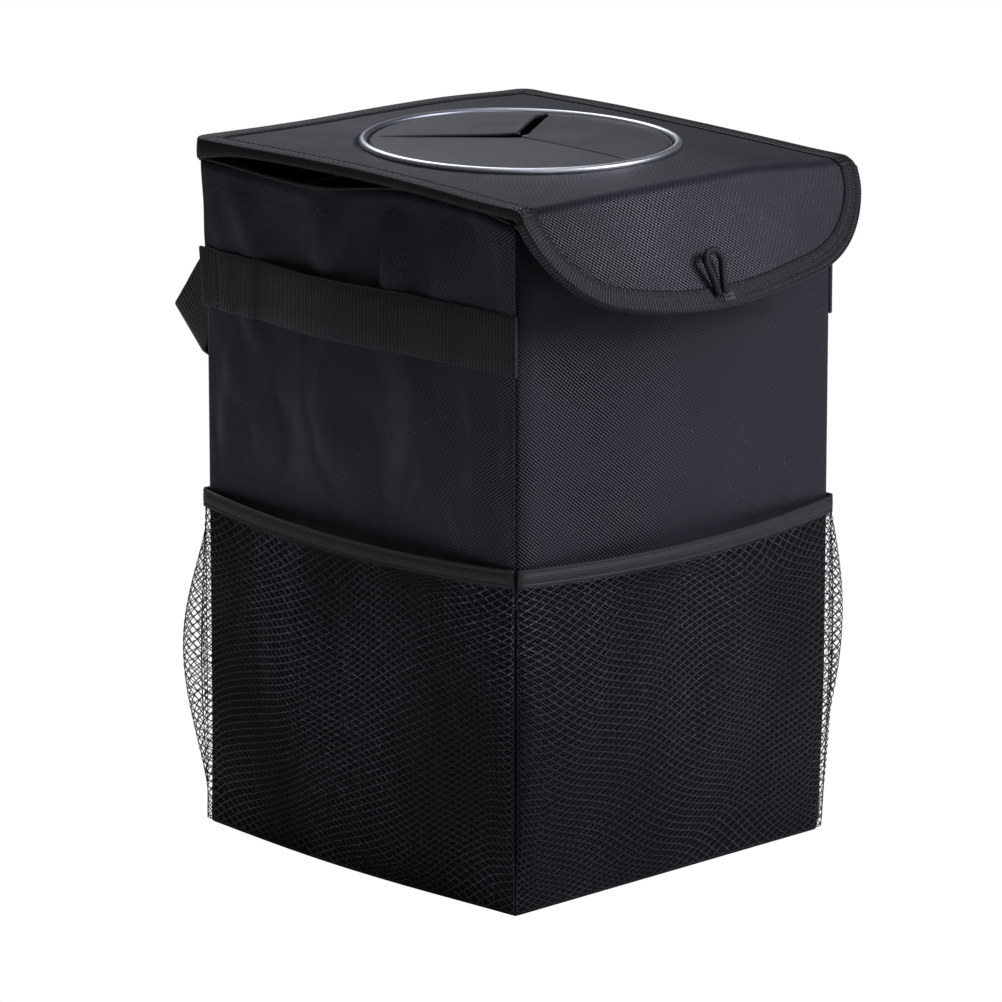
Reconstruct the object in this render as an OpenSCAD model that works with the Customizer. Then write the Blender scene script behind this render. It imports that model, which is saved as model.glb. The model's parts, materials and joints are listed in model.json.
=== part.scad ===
/* [Body] */
// Outside width of the bag, left to right
body_w = 180; // [140:1:240]
// Outside depth of the bag, front to back
body_d = 186; // [140:1:240]
// Height of the mouth at its corners
body_h = 283.6; // [240:0.1:330]
// How far the soft side walls dip at the middle of the mouth
mouth_dip = 4.5; // [2:0.5:10]
// Outside radius of the sewn corner seams
corner_r = 2.4; // [1.6:0.1:4]

/* [Sheets] */
// Thickness of the outer cloth
cloth_t = 1.2; // [0.8:0.1:1.6]
// Thickness of the stiffener boards
board_t = 2; // [1.2:0.1:3]
// Thickness of the waterproof liner
liner_t = 0.8; // [0.4:0.1:1.2]
// Height of the turned hem inside the mouth
facing_h = 16; // [12:1:24]
// Depth of the soft vertical folds in the side walls
fold_depth = 1.6; // [0:0.1:2.4]
// Number of folds in each side wall
fold_count = 4; // [2:1:6]

/* [Net pockets] */
// How far the top edge of the pocket hems lies below the mouth
pocket_down = 138.4; // [112:0.1:172]
// Sag of a pocket hem at its middle
pocket_sag = 2.5; // [0:0.5:6]
// Bow of a pocket hem away from the wall
pocket_bow = 7.5; // [6:0.5:12]
// Height of the hem tape
hem_h = 7; // [5:0.5:10]
// Thickness of the hem tape
hem_t = 1.6; // [1:0.1:2.4]
// Thickness of the net
net_t = 1.2; // [0.8:0.1:1.6]
// Diamonds across one net
net_across = 6; // [4:1:7]
// Diamonds up one net
net_up = 8; // [5:1:8]
// Share of a diamond that is open
net_open = 0.74; // [0.6:0.01:0.82]
// Belly of the front and left nets
belly_front = 8; // [6:0.5:14]
// Belly of the right net
belly_right = 17; // [8:0.5:24]
// Belly of the back net
belly_back = 26; // [8:0.5:32]

/* [Webbing] */
// Width of the webbing
band_w = 25; // [20:1:30]
// Thickness of the webbing
band_t = 1.6; // [1:0.1:2]
// How far the middle of the side bands lies below the mouth
band_down = 47.9; // [35:0.1:80]
// Bow of a side band between its stitches
band_bow = 6.5; // [5.5:0.5:10]
// Stretch sewn flat at the back end of a side band
band_sewn_back = 11; // [8:1:30]
// Stretch sewn flat at the front end of a side band
band_sewn_front = 35; // [8:1:45]
// How far the buckle hangs behind the back wall
strap_out = 13; // [12:0.5:18]
// How far the buckle hangs below the side bands
strap_drop = 37; // [30:1:45]
// Tilt of the buckle as it hangs
strap_tilt = 12; // [0:1:20]

/* [Lid] */
// Overhang of the lid past each side wall
lid_over = 4; // [3:0.5:6]
// Overhang of the lid past the front wall
lid_front = 5; // [4.5:0.5:8]
// Thickness of the lid board
lid_board_t = 4; // [3:0.1:5]
// Radius of the lid's back corners
lid_corner_r = 7; // [5:0.5:14]
// Height of the drooping side binding
skirt_h = 6.2; // [5.8:0.1:12]
// Thickness of the side binding
skirt_t = 1.8; // [1.2:0.1:2]
// Outside radius of the silver ring
ring_r = 66.3; // [50:0.5:72]
// Thickness of the round bead of the ring
bead_d = 3.2; // [2.4:0.1:4]
// Thickness of the rubber membrane
rubber_t = 1.2; // [0.8:0.1:1.6]
// Rise of the membrane at its centre
dome_h = 1.8; // [0.5:0.1:3]
// Length of each slit from the centre
slit_l = 55.5; // [30:1:60]

/* [Flap] */
// Length of the flap from the crease to its tip
flap_l = 52.4; // [40:0.1:60]
// Lean of the flap out from upright
flap_lean = 25.5; // [20:0.5:30]
// Radius of the long bottom curve of the flap
flap_bottom_r = 212; // [180:1:260]
// Radius of the shoulders of the flap
flap_shoulder_r = 54; // [50:1:58]
// Thickness of the flap stiffener
flap_board_t = 1.6; // [1:0.1:2]
// Width of the ribbed edge tape
tape_w = 9; // [6:0.5:11]
// Thickness of the ribbed edge tape
tape_t = 0.7; // [0.5:0.1:1]
// Thickness of the pull cord
loop_d = 3; // [2:0.1:4]
// Radius of the round end of the pull loop
loop_r = 5; // [4:0.1:7]
// Length of the pull loop
loop_l = 17; // [14:0.5:22]
// Width of the hook and loop patches
patch_w = 50; // [30:1:70]
// Height of the hook and loop patches
patch_h = 16; // [10:1:20]

/* [Hidden] */

// Running gap between soft pieces that are sewn together
seat = 0.3;
// Gap under the lid, and between faces that only meet
slack = 0.2;
eps = 0.01;
cap_t = 1.2;
half_w = body_w / 2;
half_d = body_d / 2;
// The turned hem is one cloth thick on the inside of the liner
front_stack = cloth_t + board_t + liner_t + cloth_t;
side_stack = cloth_t + liner_t + cloth_t;
wall_top = body_h - cap_t;
liner_top = wall_top - mouth_dip - 1;

// The bands and pockets are placed down from the mouth
band_z = wall_top - band_down;
pocket_h = wall_top - pocket_down;

// Lid layers, counted up from the mouth
lid_z = body_h + 2 * slack;
lining_t = liner_t;
lid_board_z = lid_z + lining_t;
lid_cover_z = lid_board_z + lid_board_t;
lid_top = lid_cover_z + cloth_t;
lid_half = half_w + lid_over;
lid_back = half_d + 0.6;

// The crease between lid and flap
crease_y = -half_d - lid_front;
crease_z = lid_cover_z - slack;
flap_gap = 0.5;
// Flap layers, counted along its outward normal from the crease line
flap_cover_n = slack;
flap_board_n = flap_cover_n - flap_board_t;
flap_lining_n = flap_board_n - lining_t;
flap_face_n = flap_cover_n + cloth_t;
edge_t = 1;

// The ring, its neck through the lid and the clamped rubber
bead_r = ring_r - bead_d / 2;
neck_in = 3;
neck_r = ring_r - neck_in;
hole_r = neck_r + seat;
ledge_z = lid_cover_z;
clamp_w = 2;
neck_t = 0.6;
flange_out = 4;
flange_r = ring_r + flange_out;
flange_t = 1.8;
rubber_r = neck_r - neck_t - slack;
slit_angles = [36, 131, 273];
slit_widths = [5.5, 2.2, 1];

black = [0.11, 0.11, 0.125];
dark = [0.07, 0.07, 0.08];
grey = [0.33, 0.34, 0.38];
silver = [0.8, 0.81, 0.85];
board_grey = [0.25, 0.25, 0.26];

// A flat sheet with rounded corners, centred on the origin
module rounded_sheet(w, l, r, t) {
    linear_extrude(t) rounded_rect(w, l, r);
}

module rounded_rect(w, l, r) {
    square([w - 2 * r, l], center = true);
    square([w, l - 2 * r], center = true);
    for (x = [-1, 1], y = [-1, 1])
        translate([x * (w / 2 - r), y * (l / 2 - r)]) circle(r, $fn = 32);
}

// Turn a piece drawn against the front wall to another wall: 0 front, 1 right, 2 back, 3 left
module on_wall(side) {
    rotate([0, 0, side * 90]) children();
}

function wall_half(side) = side % 2 == 0 ? half_w : half_d;
function wall_out(side) = side % 2 == 0 ? half_d : half_w;

// Mouth line: level over the front and back hems and dipping between them
function mouth_span() = half_d - front_stack;
function dip(y) = mouth_dip * max(0, 1 - pow(y / mouth_span(), 2));

module base_panel() {
    color(dark) rounded_sheet(body_w, body_d, corner_r, cloth_t);
}

module base_board() {
    color(board_grey) translate([0, 0, cloth_t])
        rounded_sheet(body_w - 2 * (cloth_t + slack), body_d - 2 * (cloth_t + slack), corner_r + cloth_t, board_t);
}

// A stiff wall is a plain cloth face between the two corner seams
module stiff_panel() {
    color(black) translate([-half_w + corner_r, -half_d, cloth_t])
        cube([body_w - 2 * corner_r, cloth_t, wall_top - cloth_t]);
}

module stiff_board() {
    h = wall_top - cloth_t - board_t;
    color(board_grey) translate([0, -half_d + cloth_t + board_t, cloth_t + board_t + h / 2]) rotate([90, 0, 0])
        rounded_sheet(body_w - 2 * (corner_r + slack), h, corner_r, board_t);
}

// A soft wall: vertical folds that fade out at the seams, the pocket hem and the mouth
fold_from = -half_d + band_sewn_front;
fold_to = half_d - band_sewn_back;
fold_low = pocket_h + hem_h;
fold_high = wall_top - mouth_dip - facing_h / 2;
soft_across = 20;
soft_up = 12;

function fade(a, from, to) = a <= from || a >= to ? 0 : sin(180 * (a - from) / (to - from));
function fold(y, z) = fold_depth * fade(y, fold_from, fold_to) * fade(z, fold_low, fold_high)
    * (0.5 - 0.5 * cos(360 * fold_count * (y - fold_from) / (fold_to - fold_from)));

// Points of a soft wall at x = -half_w, its inner skin one cloth further in
function soft_y(i) = (half_d - corner_r) * (2 * i / soft_across - 1);
function soft_z(i, j) = cloth_t + (wall_top - slack - dip(soft_y(i)) - cloth_t) * j / soft_up;
function soft_point(i, j, in) = [-half_w + in - fold(soft_y(i), soft_z(i, j)), soft_y(i), soft_z(i, j)];

// A closed sheet from two like grids of points, nu by nv cells
module grid_sheet(outer, inner, nu, nv) {
    n = (nu + 1) * (nv + 1);
    function at(i, j) = j * (nu + 1) + i;
    cells = [for (j = [0:nv - 1], i = [0:nu - 1]) [i, j]];
    skin = [for (c = cells) let (a = at(c[0], c[1]), b = at(c[0] + 1, c[1]),
        d = at(c[0] + 1, c[1] + 1), e = at(c[0], c[1] + 1)) each [[a, b, d], [a, d, e]]];
    back = [for (f = skin) [f[2] + n, f[1] + n, f[0] + n]];
    rim = concat([for (i = [0:nu - 1]) at(i, 0)], [for (j = [0:nv - 1]) at(nu, j)],
        [for (i = [nu:-1:1]) at(i, nv)], [for (j = [nv:-1:1]) at(0, j)]);
    edge = [for (k = [0:len(rim) - 1]) let (p = rim[k], q = rim[(k + 1) % len(rim)])
        each [[q, p, p + n], [q, p + n, q + n]]];
    polyhedron(concat(outer, inner), concat(skin, back, edge));
}

module soft_panel() {
    color(black) grid_sheet(
        [for (j = [0:soft_up], i = [0:soft_across]) soft_point(i, j, 0)],
        [for (j = [0:soft_up], i = [0:soft_across]) soft_point(i, j, cloth_t)],
        soft_across, soft_up);
}

// Each corner seam is a folded edge that joins two walls from base to mouth
module corner_seam(x, y) {
    r = corner_r;
    color(dark) translate([x * (half_w - r), y * (half_d - r), cloth_t]) linear_extrude(wall_top - cloth_t)
        intersection() {
            difference() {
                circle(r, $fn = 48);
                circle(r - cloth_t, $fn = 48);
            }
            translate([x > 0 ? 0 : -r, y > 0 ? 0 : -r]) square(r);
        }
}

module liner() {
    z = cloth_t + board_t;
    w = body_w - 2 * cloth_t;
    d = body_d - 2 * (cloth_t + board_t);
    color([0.45, 0.46, 0.48]) difference() {
        translate([-w / 2, -d / 2, z]) cube([w, d, liner_top - z]);
        translate([-w / 2 + liner_t, -d / 2 + liner_t, z + liner_t])
            cube([w - 2 * liner_t, d - 2 * liner_t, liner_top]);
    }
}

// The mouth is bound by a turned strip of cloth: a cap over the walls and a facing inside
module mouth_hem() {
    span = mouth_span();
    steps = 24;
    ys = [for (k = [0:steps]) -span + 2 * span * k / steps];
    cap = concat([for (y = ys) [y, body_h - dip(y)]],
        [for (k = [steps:-1:0]) [ys[k], wall_top - dip(ys[k])]]);
    facing = concat([for (y = ys) [y, body_h - dip(y)]],
        [for (k = [steps:-1:0]) [ys[k], body_h - facing_h - dip(ys[k])]]);
    color(black) {
        for (side = [-1, 1]) {
            translate([side > 0 ? half_w - side_stack : -half_w, 0, 0])
                rotate([90, 0, 90]) linear_extrude(side_stack) polygon(cap);
            translate([side > 0 ? half_w - side_stack : -half_w + side_stack - cloth_t, 0, 0])
                rotate([90, 0, 90]) linear_extrude(cloth_t) polygon(facing);
        }
        for (side = [-1, 1]) {
            intersection() {
                translate([0, 0, wall_top]) rounded_sheet(body_w, body_d, corner_r, cap_t);
                translate([-half_w, side > 0 ? span : -half_d, wall_top])
                    cube([body_w, front_stack, cap_t]);
            }
            translate([-half_w + side_stack - cloth_t, side > 0 ? span : -span - cloth_t, body_h - facing_h])
                cube([body_w - 2 * side_stack + 2 * cloth_t, cloth_t, facing_h]);
        }
    }
}

// Net pockets, drawn against the front wall: a runs along the wall, o runs out from it
net_cols = 2 * net_across;
net_rows = 2 * net_up;
net_bottom = cloth_t + seat;
// [belly, sideways swell, height where the belly starts, height where it ends]
pockets = [[belly_front, 0, 6, pocket_h], [belly_right, 2, 0.28 * pocket_h, pocket_h],
    [belly_back, 3, 0.09 * pocket_h, 0.91 * pocket_h], [belly_front, 0, 6, pocket_h]];

function hem_u(i) = sin(90 * (i / net_across - 1));
function hem_out(u) = seat + pocket_bow * (1 - u * u);
function hem_z(u) = pocket_h - pocket_sag * (1 - u * u);

function net_point(side, i, j) = let (
    p = pockets[side],
    u = hem_u(i),
    v = j / net_rows,
    z = net_bottom + (hem_z(u) - hem_h - seat - net_bottom) * v,
    belly = fade(z, p[2], p[3]),
    a = (wall_half(side) - slack) * u + (i == 0 || i == net_cols ? 0 : p[1] * belly * pow(u, 7)),
    o = seat + p[0] * belly * pow(1 - pow(u, 4), 0.25) + pocket_bow * (1 - u * u) * v * v
) [a, -wall_out(side) - o, z];

// Outward direction of the net in plan, straight out at the seams
function net_normal(side, i, j) = i == 0 || i == net_cols ? [0, -1, 0] : let (
    d = net_point(side, i + 1, j) - net_point(side, i - 1, j)
) [d[1], -d[0], 0] / norm([d[0], d[1]]);

function net_skin(side, i, j, t) = net_point(side, i, j) + t * net_normal(side, i, j);

// Knots lie where i + j is even, and a diamond gap has its middle where i + j is odd
function knot(i, j) = floor(j / 2) * (net_cols + 1) + (j % 2) * (net_across + 1) + floor(i / 2);
function gap(i, j) = floor((j - 1) / 2) * (net_cols - 1) + (j % 2 == 0 ? net_across - 1 : 0) + floor((i - 1) / 2);
around = [[1, 0], [0, 1], [-1, 0], [0, -1]];
knots = [for (j = [0:net_rows], i = [0:net_cols]) if ((i + j) % 2 == 0) [i, j]];
gaps = [for (j = [1:net_rows - 1], i = [1:net_cols - 1]) if ((i + j) % 2 == 1) [i, j]];

function net_layer(side, t) = concat(
    [for (k = knots) net_skin(side, k[0], k[1], t)],
    [for (g = gaps) let (m = net_skin(side, g[0], g[1], t)) for (d = around)
        m + net_open * (net_skin(side, g[0] + d[0], g[1] + d[1], t) - m)]);

module net(side) {
    nk = len(knots);
    n = nk + 4 * len(gaps);
    strands = [for (g = gaps, k = [0:3]) let (
        h = nk + 4 * gap(g[0], g[1]), d = around[k], e = around[(k + 1) % 4],
        c0 = knot(g[0] + d[0], g[1] + d[1]), c1 = knot(g[0] + e[0], g[1] + e[1]),
        h0 = h + k, h1 = h + (k + 1) % 4) each [[h0, h1, c1], [h0, c1, c0]]];
    edges = concat(
        [for (i = [1:2:net_cols - 1]) each [
            [knot(i, 1), knot(i + 1, 0), knot(i - 1, 0)],
            [knot(i, net_rows - 1), knot(i - 1, net_rows), knot(i + 1, net_rows)]]],
        [for (j = [1:2:net_rows - 1]) each [
            [knot(1, j), knot(0, j - 1), knot(0, j + 1)],
            [knot(net_cols - 1, j), knot(net_cols, j + 1), knot(net_cols, j - 1)]]]);
    outer = concat(strands, edges);
    inner = [for (f = outer) [f[2] + n, f[1] + n, f[0] + n]];
    holes = [for (g = gaps, k = [0:3]) let (h = nk + 4 * gap(g[0], g[1]), h0 = h + k, h1 = h + (k + 1) % 4)
        each [[h1, h0, h0 + n], [h1, h0 + n, h1 + n]]];
    rim = concat([for (i = [0:2:net_cols - 2]) knot(i, 0)], [for (j = [0:2:net_rows - 2]) knot(net_cols, j)],
        [for (i = [net_cols:-2:2]) knot(i, net_rows)], [for (j = [net_rows:-2:2]) knot(0, j)]);
    sides = [for (k = [0:len(rim) - 1]) let (p = rim[k], q = rim[(k + 1) % len(rim)])
        each [[p, q, q + n], [p, q + n, p + n]]];
    color(dark) on_wall(side)
        polyhedron(concat(net_layer(side, net_t), net_layer(side, 0)), concat(outer, inner, holes, sides));
}

// A pocket hem is a tape that sags and bows with the net below it
module net_hem(side) {
    steps = 16;
    half = wall_half(side) - slack;
    us = [for (k = [0:steps]) 2 * k / steps - 1];
    function p(u, o, z) = [half * u, -wall_out(side) - hem_out(u) - o, hem_z(u) - z];
    color(black) on_wall(side) grid_sheet(
        concat([for (u = us) p(u, hem_t, 0)], [for (u = us) p(u, hem_t, hem_h)]),
        concat([for (u = us) p(u, 0, 0)], [for (u = us) p(u, 0, hem_h)]), steps, 1);
}

// A side band is webbing sewn flat at both ends and bowed between its stitches
module side_band(back) {
    half = half_d - slack;
    from = half_d - band_sewn_back;
    to = band_sewn_front - half_d;
    steps = 20;
    as = [for (k = [0:steps]) from + (to - from) * k / steps];
    function bow(a) = band_bow * pow(fade(a, to, from), 2);
    near = concat([[half, 0]], [for (a = as) [a, -bow(a)]], [[-half, 0]]);
    far = [for (k = [len(near) - 1:-1:0]) near[k] - [0, band_t]];
    color(black) translate([0, 0, band_z - band_w / 2]) mirror([back ? 0 : 1, 0, 0])
        translate([0, -half_w - eps, 0]) linear_extrude(band_w) polygon(concat(near, far));
}

// Straight middle of the hanging strap: x runs to the left of the bag, y up the webbing, z outwards
module on_strap() {
    translate([0, half_d + strap_out, band_z - strap_drop]) rotate([-strap_tilt, 0, 0])
        rotate([90, 0, 180]) children();
}

buckle_w = band_w + 9;
buckle_t = 8;
buckle_r = 4;
slot_w = band_w + 2;
slot_l = 4;
bar_r = 1.5;
socket_l = 34;
socket_mouth = 4;
plug_flange = 11;
arm_t = 4.2;
arm_gap = 0.4;
cavity_w = band_w;
head_l = 6;
// The strap wraps each end bar at this radius
wrap_r = bar_r + seat + band_t / 2;
socket_bar = socket_mouth - socket_l + bar_r;
plug_bar = socket_mouth + plug_flange + slot_l + bar_r + arm_gap;

module end_loop(bar, dir) {
    cheek = (buckle_w - slot_w) / 2;
    difference() {
        linear_extrude(buckle_t, center = true) intersection() {
            translate([bar - dir * (buckle_r + bar_r), 0])
                rounded_rect(2 * buckle_r + 4 * bar_r, buckle_w, buckle_r);
            translate([dir > 0 ? bar - slot_l - bar_r : bar - bar_r, -buckle_w / 2])
                square([slot_l + 2 * bar_r, buckle_w]);
        }
        translate([dir > 0 ? bar - slot_l - 2 * bar_r : bar - 2 * bar_r, -slot_w / 2, -buckle_t])
            cube([slot_l + 4 * bar_r, slot_w, 2 * buckle_t]);
    }
    translate([bar, 0, 0]) rotate([90, 0, 0])
        cylinder(h = slot_w + 2 * cheek - 2, r = bar_r, center = true, $fn = 32);
}

// The socket half is hollow and has a window in each side for the plug's catches
module buckle_socket() {
    inner = socket_bar + bar_r + slot_l;
    color(dark) on_strap() {
        end_loop(socket_bar, -1);
        difference() {
            linear_extrude(buckle_t, center = true)
                translate([inner - eps, -buckle_w / 2]) square([socket_mouth - inner + eps, buckle_w]);
            translate([inner + 3, -cavity_w / 2, -arm_t / 2 - arm_gap])
                cube([socket_l, cavity_w, arm_t + 2 * arm_gap]);
            translate([inner + 6, -buckle_w, -arm_t / 2 - arm_gap])
                cube([head_l + 3, 2 * buckle_w, arm_t + 2 * arm_gap]);
        }
    }
}

// The plug half has a flange with two sprung arms and a middle guide
module buckle_plug() {
    from = socket_mouth + arm_gap;
    tip = socket_bar + bar_r + slot_l + 7;
    color(dark) on_strap() {
        end_loop(plug_bar, 1);
        translate([from, -buckle_w / 2, -buckle_t / 2])
            cube([plug_bar - bar_r - slot_l - from + eps, buckle_w, buckle_t]);
        for (side = [-1, 1]) {
            translate([tip, side > 0 ? cavity_w / 2 - 4 : -cavity_w / 2 + 1, -arm_t / 2])
                cube([from - tip + eps, 3, arm_t]);
            translate([tip, side > 0 ? cavity_w / 2 - 1.5 : -cavity_w / 2 - 2.5, -arm_t / 2])
                cube([head_l, 4, arm_t]);
        }
        translate([tip, -2, -arm_t / 2]) cube([from - tip + eps, 4, arm_t]);
    }
}

// The slider is a flat frame of two rails and a middle bar
slider_t = 2;
slider_half = 10.5;
// The strap's end is folded back on itself past each end bar
tail_l = 13;
slider_x = plug_bar + tail_l + slider_half + 2 * seat;
slider_rail = 3;
layer_n = band_t / 2 + slack / 2;
slider_n = -layer_n + band_t / 2 + seat + slider_t / 2;

module strap_slider() {
    color(dark) on_strap() translate([slider_x, 0, slider_n]) difference() {
        translate([0, 0, -slider_t / 2]) rounded_sheet(2 * slider_half, buckle_w - 2, 2.5, slider_t);
        for (side = [-1, 1])
            translate([side > 0 ? bar_r : -slider_half + slider_rail, -slot_w / 2, -slider_t])
                cube([slider_half - slider_rail - bar_r, slot_w, 2 * slider_t]);
    }
}

// The strap's route in the frame of the buckle, from the bar outwards: [x, z]
function wrap(bar, dir) = [for (k = [0:8]) let (t = 180 * k / 8)
    [bar - dir * wrap_r * sin(t), wrap_r * cos(t)]];
function tail(bar, dir) = [[bar + dir * tail_l, layer_n], [bar + dir * tail_l / 2, layer_n]];
function run(bar, dir) = [[bar + dir * tail_l / 2, -layer_n]];
over_bar = slider_n + slider_t / 2 + seat + band_t / 2;
under_rail = slider_half - slider_rail - 0.5;
wave = [[slider_x - slider_half - 2, -layer_n], [slider_x - under_rail, -layer_n],
    [slider_x - bar_r - 0.4, over_bar], [slider_x + bar_r + 0.4, over_bar],
    [slider_x + under_rail, -layer_n], [slider_x + slider_half + 2, -layer_n]];

function from_strap(q) = let (c = cos(strap_tilt), s = sin(strap_tilt))
    [-q[0], half_d + strap_out + q[1] * c, band_z - strap_drop - q[1] * s];
function strap_width(tilt) = [0, sin(tilt), cos(tilt)];

// Free ends of the strap, from the slider to the seam at the corner, as shares of
// [the way to the corner, strap_out, strap_drop], and the tilt. They bow out behind the corner.
free_in = half_w - slider_x - slider_half;
seam_in = 4;
free_shares = [[0.78, 1.19, 0.95, 18], [0.58, 1.35, 0.86, 27], [0.39, 1.43, 0.77, 37], [0.25, 1.41, 0.71, 43],
    [0.174, 1.28, 0.68, 46], [0.15, 1, 0.58, 44], [0.14, 0.72, 0.45, 36], [0.13, 0.42, 0.27, 24],
    [0.12, 0.19, 0.12, 12]];
free = concat([for (f = free_shares) [f[0] * free_in, f[1] * strap_out, f[2] * strap_drop, f[3]]],
    [[seam_in, seat, 0, 0]]);

function strap_route(dir) = concat(
    [for (q = concat(tail(dir > 0 ? plug_bar : socket_bar, dir), wrap(dir > 0 ? plug_bar : socket_bar, dir),
        run(dir > 0 ? plug_bar : socket_bar, dir), dir > 0 ? wave : [[-slider_x, -layer_n]]))
        [from_strap(q), strap_width(strap_tilt)]],
    [for (f = free) [[-dir * (half_w - f[0]), half_d + f[1], band_z - f[2]], strap_width(f[3])]]);

// A ribbon through a route of [middle, direction across it]
module ribbon(route) {
    n = len(route);
    rings = [for (k = [0:n - 1]) let (
        d = route[min(k + 1, n - 1)][0] - route[max(k - 1, 0)][0],
        w = route[k][1],
        b = cross(d, w),
        up = w * band_w / 2,
        out = b / norm(b) * band_t / 2,
        p = route[k][0]) each [p - up - out, p + up - out, p + up + out, p - up + out]];
    sides = [for (k = [0:n - 2], s = [0:3]) let (a = 4 * k + s, b = 4 * k + (s + 1) % 4)
        each [[a, b, b + 4], [a, b + 4, a + 4]]];
    caps = [[2, 1, 0], [3, 2, 0], [4 * n - 4, 4 * n - 3, 4 * n - 2], [4 * n - 4, 4 * n - 2, 4 * n - 1]];
    polyhedron(rings, concat(sides, caps));
}

module strap_left() {
    color(black) ribbon(strap_route(1));
}

module strap_right() {
    color(black) ribbon(strap_route(-1));
}

// Hook and loop closure, one half on the front wall and one inside the flap
patch_down = 34;

module wall_patch() {
    color(dark) translate([0, -half_d, crease_z - patch_down]) rotate([90, 0, 0])
        rounded_sheet(patch_w, patch_h, 1.5, 1);
}

module hinge_tape() {
    h = 22;
    color(dark) translate([-half_w + corner_r, half_d, wall_top - h]) cube([body_w - 2 * corner_r, 1, h]);
}

// Plan of the lid from the crease to the hinge, with rounded back corners
module lid_plan(inset, front) {
    w = lid_half - inset;
    r = max(lid_corner_r - inset, 1);
    back = lid_back - inset;
    translate([-w, front]) square([2 * w, back - r - front]);
    translate([-w + r, front]) square([2 * (w - r), back - front]);
    for (x = [-1, 1]) translate([x * (w - r), back - r]) circle(r, $fn = 48);
}

module lid_sheet(inset, front, z, t) {
    translate([0, 0, z]) linear_extrude(t) difference() {
        lid_plan(inset, front);
        circle(hole_r, $fn = 96);
    }
}

module lid_cover() {
    color(black) lid_sheet(0, crease_y + 0.6, lid_cover_z, cloth_t);
}

module lid_board() {
    color(board_grey) lid_sheet(skirt_t + slack, -half_d + slack, lid_board_z, lid_board_t);
}

module lid_lining() {
    color(dark) lid_sheet(skirt_t + slack, -half_d + slack, lid_z, lining_t);
}

// The side binding droops past the mouth at both sides and stops short of it at the hinge
module lid_binding() {
    front = -half_d - 1;
    color(black) difference() {
        translate([0, 0, lid_cover_z - skirt_h + cloth_t]) linear_extrude(skirt_h - cloth_t) difference() {
            lid_plan(0, front);
            lid_plan(skirt_t, front - 1);
        }
        translate([-half_w, half_d - 2 * lid_corner_r, 0]) cube([body_w, body_d, lid_z]);
        translate([-body_w, lid_back - lid_corner_r, 0]) cube([2 * body_w, body_d, lid_z]);
    }
}

// The ring has a round bead on the cover and a neck through the lid
module ring_trim() {
    color(silver) rotate_extrude($fn = 96) {
        intersection() {
            translate([bead_r, lid_top + bead_d / 4]) circle(bead_d / 2, $fn = 32);
            translate([0, lid_top]) square([2 * ring_r, bead_d]);
        }
        translate([neck_r - neck_t, ledge_z]) square([neck_t, lid_top + slack - ledge_z + eps]);
        translate([neck_r - neck_t - 1, lid_top + slack]) square([3, 0.6]);
    }
}

// The retainer clamps the rubber from below and has a flange under the lining
module ring_retainer() {
    color(dark) rotate_extrude($fn = 96) {
        translate([neck_r - neck_t - clamp_w, lid_z - flange_t]) square([clamp_w, ledge_z - lid_z + flange_t]);
        translate([neck_r - neck_t - clamp_w, lid_z - flange_t]) square([flange_r - neck_r + clamp_w, flange_t]);
    }
}

// The rubber is a shallow dome cut by three slits into petals
module slit_membrane() {
    z = ledge_z;
    function arch(r) = dome_h * (1 - pow(r / (rubber_r - clamp_w), 2));
    rs = [for (k = [0:8]) (rubber_r - clamp_w) * k / 8];
    color(grey) difference() {
        rotate_extrude($fn = 96) polygon(concat(
            [for (r = rs) [r, z + arch(r)]], [[rubber_r, z], [rubber_r, z + rubber_t]],
            [for (k = [8:-1:0]) [rs[k], z + rubber_t + arch(rs[k])]]));
        for (k = [0:2]) rotate([0, 0, slit_angles[k]]) translate([0, 0, z - 1]) linear_extrude(2 * dome_h + 4)
            polygon([[-0.2, 0.25], [0, slit_widths[k] * 0.3], [slit_l * 0.35, slit_widths[k] / 2], [slit_l, 0.25],
                [slit_l, -0.25], [slit_l * 0.35, -slit_widths[k] / 2], [0, -slit_widths[k] * 0.3], [-0.2, -0.25]]);
    }
}

// Flat frame of the flap: x along the crease, -y down the flap, z outwards
module on_flap() {
    translate([0, crease_y, crease_z]) rotate([90 - flap_lean, 0, 0]) children();
}

// Outline of the flap from one end of the crease to the other, as points of three arcs
shoulder_a = 15.2;
function flap_arc(cx, cy, r, from, to, n) = [for (k = [0:n]) let (t = from + (to - from) * k / n)
    [cx + r * sin(t), -cy - r * cos(t)]];
function flap_outline(inset, top) = let (
    rb = flap_bottom_r - inset,
    rs = flap_shoulder_r - inset,
    cy = flap_l - flap_bottom_r,
    reach = flap_bottom_r - flap_shoulder_r,
    sy = cy + reach * cos(shoulder_a),
    sx = lid_half + 0.9 - flap_shoulder_r * cos(asin(-sy / flap_shoulder_r)),
    end = acos((top - sy) / rs),
    bottom_a = asin(sx / reach))
    concat(flap_arc(-sx, sy, rs, -end, -bottom_a, 8), flap_arc(0, cy, rb, -bottom_a, bottom_a, 8),
        flap_arc(sx, sy, rs, bottom_a, end, 8));

module flap_sheet(inset, n, t) {
    translate([0, 0, n]) linear_extrude(t) polygon(flap_outline(inset, flap_gap));
}

module flap_cover() {
    color(black) on_flap() flap_sheet(edge_t, flap_cover_n, cloth_t);
}

module flap_board() {
    color(board_grey) on_flap() flap_sheet(edge_t, flap_board_n, flap_board_t);
}

module flap_lining() {
    color(dark) on_flap() flap_sheet(edge_t, flap_lining_n, lining_t);
}

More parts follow.
